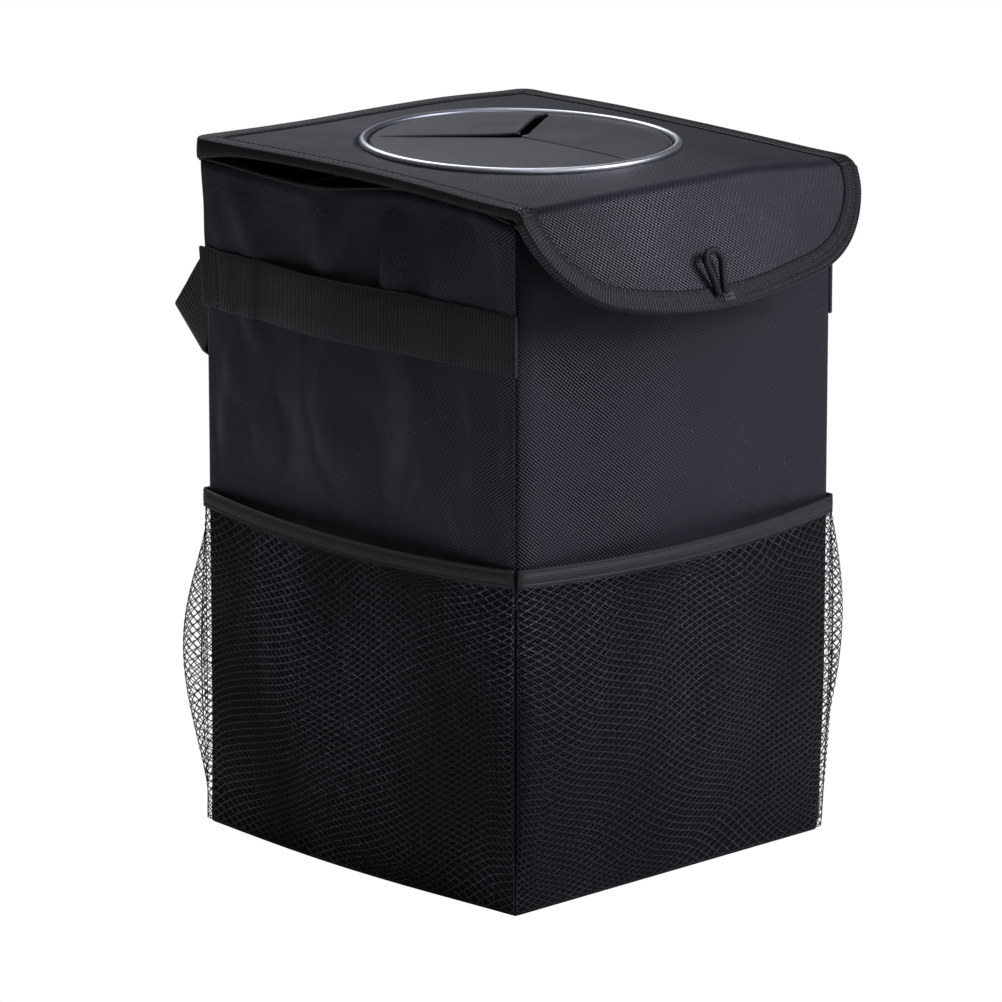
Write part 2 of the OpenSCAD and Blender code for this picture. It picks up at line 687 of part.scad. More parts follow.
// The edge tape wraps the rim and lies on both faces of the flap
module flap_binding() {
    low = flap_lining_n - tape_t;
    high = flap_face_n + tape_t;
    color(dark) on_flap() {
        translate([0, 0, low]) linear_extrude(high - low) difference() {
            polygon(flap_outline(0, flap_gap));
            polygon(flap_outline(edge_t, flap_gap - 1));
        }
        for (n = [low, flap_face_n]) translate([0, 0, n]) linear_extrude(tape_t) difference() {
            polygon(flap_outline(0, flap_gap));
            polygon(flap_outline(tape_w, flap_gap - 1));
        }
    }
}

module flap_patch() {
    color(dark) on_flap() translate([0, -patch_down, flap_lining_n - 1]) rounded_sheet(patch_w, patch_h, 1.5, 1);
}

// The pull loop is a teardrop of cord that stands up from the edge tape
loop_rise = 12;
loop_reach = loop_l - loop_r - loop_d / 2;
loop_foot = loop_d / 2 + slack / 2;
loop_open = 22;
loop_sides = 8;
loop_path = concat([[loop_foot, 0]],
    [for (t = [-loop_open:16:180 + loop_open]) [loop_r * cos(t), loop_reach + loop_r * sin(t)]],
    [[-loop_foot, 0]]);

module pull_loop() {
    n = len(loop_path);
    rings = [for (k = [0:n - 1]) let (
        p = loop_path[k],
        d = loop_path[min(k + 1, n - 1)] - loop_path[max(k - 1, 0)],
        side = [d[1], -d[0]] / norm(d)) for (s = [0:loop_sides - 1]) let (t = 360 * s / loop_sides)
            [p[0] + loop_d / 2 * cos(t) * side[0], p[1] + loop_d / 2 * cos(t) * side[1], loop_d / 2 * sin(t)]];
    walls = [for (k = [0:n - 2], s = [0:loop_sides - 1]) let (
        a = loop_sides * k + s, b = loop_sides * k + (s + 1) % loop_sides)
            each [[b, a, a + loop_sides], [b, a + loop_sides, b + loop_sides]]];
    caps = [for (s = [1:loop_sides - 2]) let (e = loop_sides * (n - 1)) each [[0, s, s + 1], [e, e + s + 1, e + s]]];
    color(dark) on_flap() translate([0.5, -(flap_l - tape_w + 1), flap_face_n + tape_t + loop_d / 2 + slack])
        rotate([loop_rise, 0, 0]) polyhedron(rings, concat(walls, caps));
}

base_panel();
stiff_panel();  // front_panel
on_wall(2) stiff_panel();  // back_panel
soft_panel();  // left_panel
mirror([1, 0, 0]) soft_panel();  // right_panel
corner_seam(-1, -1);  // corner_seam_front_left
corner_seam(1, -1);  // corner_seam_front_right
corner_seam(-1, 1);  // corner_seam_back_left
corner_seam(1, 1);  // corner_seam_back_right
base_board();
stiff_board();  // front_board
on_wall(2) stiff_board();  // back_board
liner();
mouth_hem();
net(0);  // front_net
net(1);  // right_net
net(2);  // back_net
net(3);  // left_net
net_hem(0);  // front_net_hem
net_hem(1);  // right_net_hem
net_hem(2);  // back_net_hem
net_hem(3);  // left_net_hem
on_wall(3) side_band(false);  // left_band
on_wall(1) side_band(true);  // right_band
strap_left();
strap_right();
buckle_socket();
buckle_plug();
strap_slider();
wall_patch();
hinge_tape();
lid_cover();
lid_board();
lid_lining();
lid_binding();
ring_trim();
ring_retainer();
slit_membrane();
flap_cover();
flap_board();
flap_lining();
flap_binding();
flap_patch();
pull_loop();
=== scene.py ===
import json
import math

import bpy
import numpy as np
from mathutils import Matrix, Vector, noise


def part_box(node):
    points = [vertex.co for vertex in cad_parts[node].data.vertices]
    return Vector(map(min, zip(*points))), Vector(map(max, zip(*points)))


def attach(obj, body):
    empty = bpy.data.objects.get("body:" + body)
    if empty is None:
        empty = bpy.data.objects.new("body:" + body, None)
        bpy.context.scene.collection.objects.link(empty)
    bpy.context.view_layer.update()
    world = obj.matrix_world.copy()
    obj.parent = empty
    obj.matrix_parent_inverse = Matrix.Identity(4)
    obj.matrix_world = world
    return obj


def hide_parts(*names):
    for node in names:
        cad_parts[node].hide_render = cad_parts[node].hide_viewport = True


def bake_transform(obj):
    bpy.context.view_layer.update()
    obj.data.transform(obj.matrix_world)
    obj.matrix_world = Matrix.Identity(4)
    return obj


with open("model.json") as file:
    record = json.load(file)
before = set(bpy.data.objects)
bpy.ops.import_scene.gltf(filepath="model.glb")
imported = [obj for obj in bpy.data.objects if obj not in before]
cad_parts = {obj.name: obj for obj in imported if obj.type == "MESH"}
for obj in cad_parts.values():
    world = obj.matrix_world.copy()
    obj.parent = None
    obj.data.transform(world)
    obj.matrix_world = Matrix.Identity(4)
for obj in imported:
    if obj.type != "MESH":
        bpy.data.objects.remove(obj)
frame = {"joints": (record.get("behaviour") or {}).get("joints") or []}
bpy.ops.object.select_all(action="DESELECT")
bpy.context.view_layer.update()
bpy.context.scene.view_settings.view_transform = "Standard"

# Camera
# The bin is seen past its front left corner, a little from above, through a long lens.
# Its place and lens come from the edges of the bag and lid in the photograph.
azimuth, elevation = math.radians(-43.58), math.radians(14.16)
camera_place = (-1.8455, -1.9294, 0.8134)
camera_data = bpy.data.cameras.new("camera")
camera_data.sensor_width = 36
camera_data.lens = 238.3
camera = bpy.data.objects.new("camera", camera_data)
bpy.context.scene.collection.objects.link(camera)
bpy.context.scene.camera = camera
looks_back = Vector((math.sin(azimuth) * math.cos(elevation), -math.cos(azimuth) * math.cos(elevation),
    math.sin(elevation)))
camera.location = camera_place
camera.rotation_mode = "QUATERNION"
camera.rotation_quaternion = looks_back.to_track_quat("Z", "Y")

# Pull loop
# A round elastic cord, 3 mm thick and braided, bent into a teardrop. Both ends are caught
# under the edge tape of the flap, so that a finger can lift the flap by it.
mm = 0.001
fold_joint = next(joint for joint in frame["joints"] if joint["name"] == "flap_fold")
crease_y, crease_z = fold_joint["pos_m"][1] / mm, fold_joint["pos_m"][2] / mm
flap_lean = math.radians(25.5)
flap_down = np.array([0, -math.sin(flap_lean), -math.cos(flap_lean)])
flap_out = np.array([0, -math.cos(flap_lean), math.sin(flap_lean)])
loop_d, loop_r, loop_reach, loop_open = 3.0, 4.3, 11.0, 24
loop_foot, loop_rise, loop_slant = 1.6, math.radians(12), 0.13
loop_sewn_in, loop_sewn_low = 3.0, 0.6
loop_place = [-3.3, 44.4, 3.8]


def on_flap(x, down, out):
    """Points in millimetres from their place across, down and out of the flap."""
    base = np.array([0, crease_y, crease_z])
    return base + np.outer(x, [1, 0, 0]) + np.outer(down, flap_down) + np.outer(out, flap_out)


def points_of(piece):
    """The places of a piece's vertices, in metres."""
    spots = np.zeros(len(piece.data.vertices) * 3)
    piece.data.vertices.foreach_get("co", spots)
    return spots.reshape(-1, 3)


def move_points(piece, points):
    """Puts a piece's vertices at points in millimetres."""
    piece.data.vertices.foreach_set("co", (points * mm).ravel())


def lay_flat(piece, flats):
    """Makes the flat pattern of a piece's cloth, in millimetres, its UV map."""
    corner = np.zeros(len(piece.data.loops), int)
    piece.data.loops.foreach_get("vertex_index", corner)
    piece.data.uv_layers[0].data.foreach_set("uv", (flats * mm).reshape(-1, 2)[corner].ravel())


def pick(piece):
    """Makes a piece the only selected one."""
    bpy.ops.object.select_all(action="DESELECT")
    piece.select_set(True)
    bpy.context.view_layer.objects.active = piece


def close_up(piece, merge=None, turn_out=True):
    """Merges the points of a piece that lie within a distance in metres, and turns its faces outward."""
    pick(piece)
    bpy.ops.object.mode_set(mode="EDIT")
    bpy.ops.mesh.select_all(action="SELECT")
    if merge:
        bpy.ops.mesh.remove_doubles(threshold=merge)
    if turn_out:
        bpy.ops.mesh.normals_make_consistent(inside=False)
    bpy.ops.mesh.select_all(action="DESELECT")
    bpy.ops.object.mode_set(mode="OBJECT")


def apply_all(piece):
    """Applies the piece's modifiers in order."""
    pick(piece)
    for modifier in list(piece.modifiers):
        bpy.ops.object.modifier_apply(modifier=modifier.name)


def thicken(piece, thickness_mm):
    """Gives a sheet its thickness behind its face."""
    wall = piece.modifiers.new("thickness", "SOLIDIFY")
    wall.thickness = thickness_mm * mm
    wall.offset = -1
    apply_all(piece)


def grid_piece(name, points, wrap=False, caps=False):
    """A grid of cells laid on rows of points in millimetres. Its UV map is the cloth laid flat, in metres.
    wrap joins the last column to the first, and caps close the two ends of a wrapped strip."""
    rows, columns = points.shape[0], points.shape[1]
    bpy.ops.mesh.primitive_grid_add(x_subdivisions=columns - 1, y_subdivisions=rows - 1, size=1)
    piece = bpy.context.object
    piece.name = name
    flat = points_of(piece)
    column = np.rint((flat[:, 0] + 0.5) * (columns - 1)).astype(int)
    row = np.rint((flat[:, 1] + 0.5) * (rows - 1)).astype(int)
    move_points(piece, points[row, column])
    across = np.linalg.norm(np.diff(points, axis=1), axis=2).mean(axis=0)
    along = np.linalg.norm(np.diff(points, axis=0), axis=2).mean(axis=1)
    lay_flat(piece, np.column_stack([np.concatenate([[0], np.cumsum(across)])[column],
        np.concatenate([[0], np.cumsum(along)])[row]]))
    bpy.ops.object.mode_set(mode="EDIT")
    bpy.ops.mesh.select_all(action="SELECT")
    if wrap:
        bpy.ops.mesh.remove_doubles(threshold=0.000002)
    if caps:
        bpy.ops.mesh.select_all(action="DESELECT")
        bpy.ops.mesh.select_mode(type="EDGE")
        bpy.ops.mesh.select_non_manifold(extend=False)
        bpy.ops.mesh.edge_face_add()
        bpy.ops.mesh.select_all(action="SELECT")
        bpy.ops.mesh.normals_make_consistent(inside=False)
    bpy.ops.mesh.select_mode(type="VERT")
    bpy.ops.mesh.select_all(action="DESELECT")
    bpy.ops.object.mode_set(mode="OBJECT")
    bpy.ops.object.shade_smooth()
    return piece


def unit(vectors):
    """Vectors brought to a length of one."""
    return vectors / np.linalg.norm(vectors, axis=1)[:, None]


def run_along(points):
    """How far along a path each of its points lies."""
    return np.concatenate([[0], np.cumsum(np.linalg.norm(np.diff(points, axis=0), axis=1))])


def at_marks(marks, run, points):
    """The points of a path at marks along its run."""
    return np.column_stack([np.interp(marks, run, column) for column in points.T])


def smooth(points, times):
    """Evens out a path in place, between its ends."""
    for _ in range(times):
        points[1:-1] = (points[:-2] + 2 * points[1:-1] + points[2:]) / 4


def tube(path, radius, sides):
    """Rings of points round a path, for grid_piece."""
    ahead = unit(np.gradient(path, axis=0))
    side = np.zeros_like(path)
    side[0] = np.cross(ahead[0], [0.31, 0.17, 0.93])
    for k in range(1, len(path)):
        side[k] = side[k - 1]
    side = unit(side - (side * ahead).sum(1)[:, None] * ahead)
    up = np.cross(ahead, side)
    turn = np.linspace(0, 2 * math.pi, sides + 1)
    return path[:, None] + radius * (side[:, None] * np.cos(turn)[None, :, None]
        + up[:, None] * np.sin(turn)[None, :, None])


def node(tree, kind, *inputs, **settings):
    """A shader node. Each input is a number, colour or socket for the node's sockets in order, or None."""
    made = tree.nodes.new("ShaderNode" + kind)
    for name, value in settings.items():
        setattr(made, name, value)
    for socket, value in zip(made.inputs, inputs):
        if isinstance(value, bpy.types.NodeSocket):
            tree.links.new(value, socket)
        elif value is not None:
            socket.default_value = value
    return made


def math_node(tree, operation, *inputs):
    return node(tree, "Math", *inputs, operation=operation).outputs[0]


def ranged(tree, value, *span, **settings):
    """A value carried over from its own low and high to another low and high."""
    return node(tree, "MapRange", value, *span, **settings).outputs[0]


def speckle(tree, place, *values):
    """Noise at a place, by its scale, detail and roughness."""
    return node(tree, "TexNoise", place, None, *values).outputs[0]


def own_place(tree):
    """Places on the piece itself, in metres."""
    return node(tree, "TexCoord").outputs["Object"]


def finish(name, colour, roughness, **values):
    """A material with its Principled shader; values are sockets that are the same all over."""
    material = bpy.data.materials.new(name)
    material.use_nodes = True
    tree = material.node_tree
    shader = tree.nodes["Principled BSDF"]
    shader.inputs["Base Color"].default_value = (*colour, 1)
    shader.inputs["Roughness"].default_value = roughness
    for socket, value in values.items():
        shader.inputs[socket.replace("_", " ")].default_value = value
    return material, tree, shader


def shader_group(name, inputs, outputs):
    """An empty node group and its two ends. Inputs are (name, kind, value)."""
    tree = bpy.data.node_groups.new(name, "ShaderNodeTree")
    for socket, kind, value in inputs:
        made = tree.interface.new_socket(socket, in_out="INPUT", socket_type="NodeSocket" + kind)
        if value is not None:
            made.default_value = value
    for socket in outputs:
        tree.interface.new_socket(socket, in_out="OUTPUT", socket_type="NodeSocketFloat")
    return tree, tree.nodes.new("NodeGroupInput").outputs, tree.nodes.new("NodeGroupOutput").inputs


def place_group(tree, group, **inputs):
    made = tree.nodes.new("ShaderNodeGroup")
    made.node_tree = group
    for name, value in inputs.items():
        if isinstance(value, bpy.types.NodeSocket):
            tree.links.new(value, made.inputs[name])
        else:
            made.inputs[name].default_value = value
    return made.outputs


def flat_cloth(tree):
    """Places on the flat pattern of a cloth, in metres."""
    return node(tree, "TexCoord").outputs["UV"]


def scaled_place(tree, place, scales):
    """A place with each of its three measures scaled."""
    return node(tree, "VectorMath", place, scales, operation="MULTIPLY").outputs[0]


def bump(tree, shader, height, depth_mm, strength=1.0):
    """Feeds a height from 0 to 1 to the shader's normal, at its depth in millimetres."""
    made = node(tree, "Bump", strength, depth_mm * mm)
    tree.links.new(height, made.inputs["Height"])
    tree.links.new(made.outputs["Normal"], shader.inputs["Normal"])
    return made


def colour_by(tree, shader, mask, low, high):
    """The base colour goes from low to high with a mask from 0 to 1."""
    made = node(tree, "Mix", data_type="RGBA")
    made.inputs["A"].default_value = (*low, 1)
    made.inputs["B"].default_value = (*high, 1)
    tree.links.new(mask, made.inputs["Factor"])
    tree.links.new(made.outputs["Result"], shader.inputs["Base Color"])


# Thread relief that tape, webbing and cord share: ribs of one pitch, each made of finer threads
ribs, at, to = shader_group("ribs", [("Vector", "Vector", None), ("Pitch", "Float", 0.002),
    ("Thread", "Float", 0.0006)], ["Height", "Crest"])
split = node(ribs, "SeparateXYZ", at["Vector"]).outputs
drift = math_node(ribs, "MULTIPLY", speckle(ribs, at["Vector"], 300.0, 2.0), 0.5)
rib_turn = math_node(ribs, "ADD", math_node(ribs, "DIVIDE", split["Y"], at["Pitch"]), drift)
thread_turn = math_node(ribs, "ADD", math_node(ribs, "DIVIDE", split["X"], at["Thread"]), rib_turn)
rib_wave = math_node(ribs, "SINE", math_node(ribs, "MULTIPLY", rib_turn, 2 * math.pi))
thread_wave = math_node(ribs, "SINE", math_node(ribs, "MULTIPLY", thread_turn, 2 * math.pi))
rib_height = math_node(ribs, "MULTIPLY_ADD", rib_wave, 0.36, 0.5)
ribs.links.new(math_node(ribs, "MULTIPLY_ADD", thread_wave, 0.14, rib_height), to["Height"])
crest_wave = math_node(ribs, "MULTIPLY_ADD", thread_wave, 0.3, rib_wave)
ribs.links.new(ranged(ribs, crest_wave, 0.55, 1.2, 0.0, 1.0), to["Crest"])



def faded(tree, mask, ramps):
    """A mask weakened across the piece. Each ramp is an axis, from and to, and the share at either end."""
    place = node(tree, "SeparateXYZ", own_place(tree)).outputs
    for axis, *span in ramps:
        mask = math_node(tree, "MULTIPLY", mask, ranged(tree, place[axis], *span))
    return mask


def ribbed_finish(name, colours, roughness, pitch, thread, relief, ramps=(), **values):
    """A cloth of ribs. Its colours are the mean, that between the ribs and that of their crests; the
    crests' lighter colour is a painted highlight.
    """
    material, tree, shader = finish(name, colours[0], roughness, **values)
    lines = place_group(tree, ribs, Vector=flat_cloth(tree), Pitch=pitch, Thread=thread)
    bump(tree, shader, lines["Height"], relief)
    crests = faded(tree, lines["Crest"], ramps) if ramps else lines["Crest"]
    colour_by(tree, shader, crests, *colours[1:])
    return material


cord_colours = [(0.008, 0.008, 0.010), (0.007, 0.007, 0.009), (0.022, 0.022, 0.027)]
cord_finish = ribbed_finish("braided_cord", cord_colours, 0.5, 0.0011, 0.0016, 0.12, Specular_IOR_Level=0.4)
arc = np.radians(np.arange(-loop_open, 180 + loop_open + 1, 7))
loop_x = np.concatenate([[loop_foot, loop_foot], loop_r * np.cos(arc), [-loop_foot, -loop_foot]])
loop_y = np.concatenate([[-loop_sewn_in, 0.0], loop_reach + loop_r * np.sin(arc), [0.0, -loop_sewn_in]])
lifted = np.maximum(loop_y, 0)
loop_path = on_flap(loop_place[0] + loop_x - loop_slant * lifted,
    loop_place[1] - loop_y * math.cos(loop_rise),
    loop_place[2] + lifted * math.sin(loop_rise) - loop_sewn_low * (loop_y < 0))
smooth(loop_path, 2)
pull_loop = grid_piece("pull_cord", tube(loop_path, loop_d / 2, 14), wrap=True, caps=True)
pull_loop.data.materials.append(cord_finish)
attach(pull_loop, "flap")
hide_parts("pull_loop")

# Outer cloth of the bag
# Four walls of coated oxford polyester, sewn together with their edges turned in at the corners. The
# front and back are held flat by boards, and the two side walls are loose and stand in soft folds.
half_w, half_d = (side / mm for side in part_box("base_panel")[1][:2])
mouth_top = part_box("mouth_hem")[1].z / mm
rim_t = 1.2
# How far the mouth sinks along a side wall: [place along it, how far]. Below zero it is drawn up
right_mouth = [[-88, 0], [-40, 1.6], [0, 2.4], [40, 1.8], [88, 0]]
left_mouth = [[-92, -0.8], [-80, -0.3], [-60, 0.9], [-40, 1.9], [-20, 1.8], [0, -1.2], [18, -3.6], [40, -3.8],
    [66, -3.6], [80, -2.6], [92, -0.3]]
side_stack, end_stack = 3.2, 5.2
wall_halves = [half_w, half_d, half_w, half_d]
wall_outward = np.array([[0, -1, 0], [1, 0, 0], [0, 1, 0], [-1, 0, 0]], float)
groove, groove_roll, groove_deep = 1.2, 1.9, 0.8
cloth_t = 1.0
cell = 3.2
fold_scale, fold_free, fold_held = 1.5, 2.0, 14.0

# Soft folds: [crest along the wall, reach before it, reach after it, from z, to z, height, lean]
left_folds = [[-78, 8, 30, 150, 226, 1.3, 0.16], [-16, 28, 30, 146, 236, 2.3, 0.05],
    [36, 22, 42, 146, 236, 2.6, -0.04], [-62, 18, 10, 236, 276, 2.2, -0.3], [-14, 22, 7, 236, 279, 3.6, 0.10],
    [18, 8, 16, 236, 277, 3.2, -0.10], [50, 14, 18, 240, 278, 1.8, 0.15], [-75, 6, 12, 200, 279, 1.3, -0.55],
    [70, 10, 16, 150, 220, 0.9, 0.0]]
right_folds = [[70, 26, 12, 150, 228, 1.5, 0.05], [8, 30, 26, 146, 236, 2.4, -0.06],
    [-44, 26, 28, 146, 232, 2.0, 0.05], [48, 20, 20, 240, 275, 1.8, 0.2], [2, 14, 26, 240, 274, 2.3, -0.1],
    [-44, 24, 16, 240, 274, 1.7, 0.05]]
front_folds = [[66, 7, 6, 139, 158, 0.7, 0.0], [46, 6, 8, 139, 154, 0.5, 0.1],
    [-30, 26, 34, 150, 230, 0.7, -0.05], [28, 30, 34, 160, 250, 0.6, 0.1]]
back_folds = [[50, 8, 6, 139, 157, 0.6, 0.0], [-44, 8, 10, 139, 160, 0.6, 0.1],
    [-10, 40, 40, 160, 250, 0.6, 0.05]]
wall_folds = [front_folds, right_folds, back_folds, left_folds]


def around(side, along, out, z):
    """A point along a wall, out from it and up: 0 front, 1 right, 2 back, 3 left."""
    reach = (half_d if side % 2 == 0 else half_w) + out
    x, y = [(along, -reach), (reach, along), (-along, reach), (-reach, -along)][side]
    return np.stack(np.broadcast_arrays(x, y, z), axis=-1)


def fade(value, low, high):
    """From 0 at low, to 1 halfway, to 0 at high."""
    share = np.clip((value - low) / (high - low), 0, 1)
    return np.sin(math.pi * share)


def folded(side, along, z):
    """How far a wall stands out in its folds."""
    out = np.zeros(np.broadcast(along, z).shape)
    for crest, before, after, low, high, height, lean in wall_folds[side]:
        off = along - crest - lean * (z - (low + high) / 2)
        reach = np.where(off < 0, before, after)
        across = hill(off, 0, reach) ** 2
        out += fold_scale * height * across * fade(z, low, high) ** 0.8
    return out * np.clip((half_w + fold_free - np.abs(along)) / fold_held, 0, 1)


def mouth_line(side, along):
    """How far the mouth dips on a side wall."""
    along = np.asarray(along, float)
    if side % 2 == 0:
        return 0 * along
    knots = np.array(right_mouth if side == 1 else left_mouth, float)
    return sum(np.interp(along + off, knots[:, 0], knots[:, 1]) for off in (-6, -3, 0, 3, 6)) / 5


def wall_stations(side):
    """Places across one wall: out of one seam groove, round its roll, along, and into the next."""
    half = wall_halves[side]
    turn = np.radians([0, 25, 50, 70, 90])
    roll_a = -half + groove + groove_roll * (1 - np.cos(turn))
    roll_o = -groove + groove * np.sin(turn)
    first = np.array([[-half + groove + groove_deep, -groove - groove_deep], *zip(roll_a, roll_o)])
    count = int(round(2 * (half - groove - groove_roll) / cell))
    middle = np.linspace(first[-1][0], -first[-1][0], count + 1)[1:-1]
    last = first[::-1] * [-1, 1]
    return np.vstack([first, np.column_stack([middle, 0 * middle]), last])


def eased(value, low, high):
    """From 0 at low to 1 at high, with soft ends."""
    share = np.clip((value - low) / (high - low), 0, 1)
    return share * share * (3 - 2 * share)


def hill(value, middle, reach):
    """From 0 at one reach before the middle, to 1, to 0 at one reach after it."""
    return np.cos(np.clip((value - middle) / reach, -1, 1) * math.pi / 2)


# How far, in millimetres, the soft bin departs from its square shape
front_right_sunk = 3.6
seam_drawn_low, seam_drawn_high, base_bowed, base_tucked, mouth_sucked = 2.0, 1.6, 5.6, 3.4, 6.0
lid_raised, lid_domed, lid_drawn, lid_flared, ring_shifted, flap_widened = 0.9, 1.4, 5.2, 2.8, 0.85, 2.2


def droop(x, y):
    """How far the front right corner of the lid, and the wall under it, sinks."""
    return front_right_sunk * eased(x, 30, 94) * np.clip(0.1 + 0.9 * (93 - y) / 190, 0, 1)


def leaning(points):
    """The bag isn't quite square: its back seam is drawn out at the strap, its mouth leans in on the
    left and sinks at the right, and its base bows out on the left and is tucked in at the right."""
    x, y, z = points[..., 0], points[..., 1], points[..., 2]
    drawn = seam_drawn_low * eased(z, 228, 256) + seam_drawn_high * eased(z, 262, 282)
    drawn *= eased(-x, 55, 90) * eased(y, 50, 93)
    bowed = base_bowed * np.exp(-np.clip(z, 0, None) / 24) * hill(y, 8, 100) ** 1.2
    tucked = base_tucked * np.clip(1 - z / 75, 0, 1) ** 1.6 * eased(x, 40, 90)
    sucked = mouth_sucked * eased(z, 236, 283) * hill(y, -28, 62) ** 2
    left = eased(-x, 40, 90)
    return np.stack([x + (sucked - bowed) * left - tucked, y + drawn,
        z - droop(x, y) * np.clip((z - 190) / 90, 0, 1)], axis=-1)


def resting(points):
    """The soft lid and flap: domed at the middle, drawn in along the left edge, raised and flared at
    the back left corner, raised a little at the middle of the back edge, sunk at the front right, and
    a little wider at the right of the flap. The ring sits a little forward and right of the middle."""
    x, y, z = points[..., 0], points[..., 1], points[..., 2]
    raised = eased(-x, 20, 94) * np.interp(y, [-98, 0, 93.6], [0.2, 1.0, 2.0])
    raised += lid_raised * eased(y, 30, 93) * (hill(x, 0, 94) - eased(x, 40, 94))
    domed = lid_domed * np.clip(1 - (x * x + y * y) / 120 ** 2, 0, 1)
    drawn = lid_drawn * eased(-x, 68, 94) * hill(y, 2, 96) ** 1.5
    flared = lid_flared * eased(-x, 55, 94) * eased(y, 55, 93)
    shifted = ring_shifted * (1 - eased(np.hypot(x, y), 66, 90))
    widened = flap_widened * eased(x, 30, 92) * eased(-y, 97, 106)
    return np.stack([x + drawn + widened + shifted, y + flared - shifted,
        z + raised + domed - droop(x, y)], axis=-1)


wall_top = mouth_top - rim_t
levels = np.concatenate([[0.1, 0.5, 1.4, 4.0], np.linspace(8, wall_top, 66)])
tucked = np.interp(levels, [0.1, 0.5, 1.4, 4.0], [-0.9, -0.4, -0.1, 0])
strips = []
for side in range(4):
    stations = wall_stations(side)
    along, rolled = stations[:, 0][None, :], stations[:, 1][None, :]
    share = (levels / wall_top)[:, None]
    z = levels[:, None] - share * mouth_line(side, along)
    strips.append(around(side, along, rolled + folded(side, along, z) + tucked[:, None], z))
strips.append(strips[0][:, :1])
bag = grid_piece("bag_cloth", leaning(np.concatenate(strips, axis=1)), wrap=True)
thicken(bag, cloth_t)

# Coated oxford weave: slanting rows of light floats over a dark ground; the floats' lighter colour is a
# painted highlight of the glossy threads, and scattered bright specks are painted glints. Clear says how
# far the floats stand out; where they don't, the cloth has their mean colour.
mean_float = 0.36
oxford, at, to = shader_group("oxford_weave", [("Vector", "Vector", None), ("Pitch", "Float", 0.0012),
    ("Clear", "Float", 0.8), ("Slant", "Float", 1.0)], ["Height", "Float", "Cloud"])
split = node(oxford, "SeparateXYZ", at["Vector"]).outputs
warp = math_node(oxford, "DIVIDE", split["X"], at["Pitch"])
weft = math_node(oxford, "MULTIPLY", math_node(oxford, "DIVIDE", split["Y"], at["Pitch"]), at["Slant"])


def weave_wave(across, up):
    """One of the two slanting waves that make the floats: its turns per thread across and up."""
    turns = math_node(oxford, "MULTIPLY_ADD", warp, across, math_node(oxford, "MULTIPLY", weft, up))
    return math_node(oxford, "COSINE", math_node(oxford, "MULTIPLY", turns, 2 * math.pi))


rows_wave, dash_wave = weave_wave(0.62, 0.80), weave_wave(-0.55, 0.42)
lattice = math_node(oxford, "MULTIPLY_ADD", dash_wave, 0.42, math_node(oxford, "MULTIPLY", rows_wave, 0.90))
clouded = ranged(oxford, speckle(oxford, at["Vector"], 26.0, 3.0, 0.6), 0.36, 0.62, 0.0, 1.0)
fibre = speckle(oxford, at["Vector"], 1100.0, 2.0, 0.6)
lit = math_node(oxford, "MULTIPLY_ADD", fibre, 1.2, lattice)
float_mask = ranged(oxford, lit, 0.25, 1.45, 0.0, 1.0)
shown = math_node(oxford, "MULTIPLY", at["Clear"], math_node(oxford, "MULTIPLY_ADD", clouded, 0.5, 0.5))
off_mean = math_node(oxford, "SUBTRACT", float_mask, mean_float)
# Painted glints: scattered bright specks added to the floats
sparkle = ranged(oxford, speckle(oxford, at["Vector"], 760.0, 1.0, 0.5), 0.71, 0.75, 0.0, 0.6)
woven = math_node(oxford, "MULTIPLY_ADD", off_mean, shown, mean_float)
oxford.links.new(math_node(oxford, "MULTIPLY_ADD", sparkle, clouded, woven), to["Float"])
height = math_node(oxford, "MULTIPLY_ADD", lattice, 0.3, 0.5)
oxford.links.new(math_node(oxford, "MULTIPLY_ADD", fibre, 0.25, height), to["Height"])
oxford.links.new(clouded, to["Cloud"])


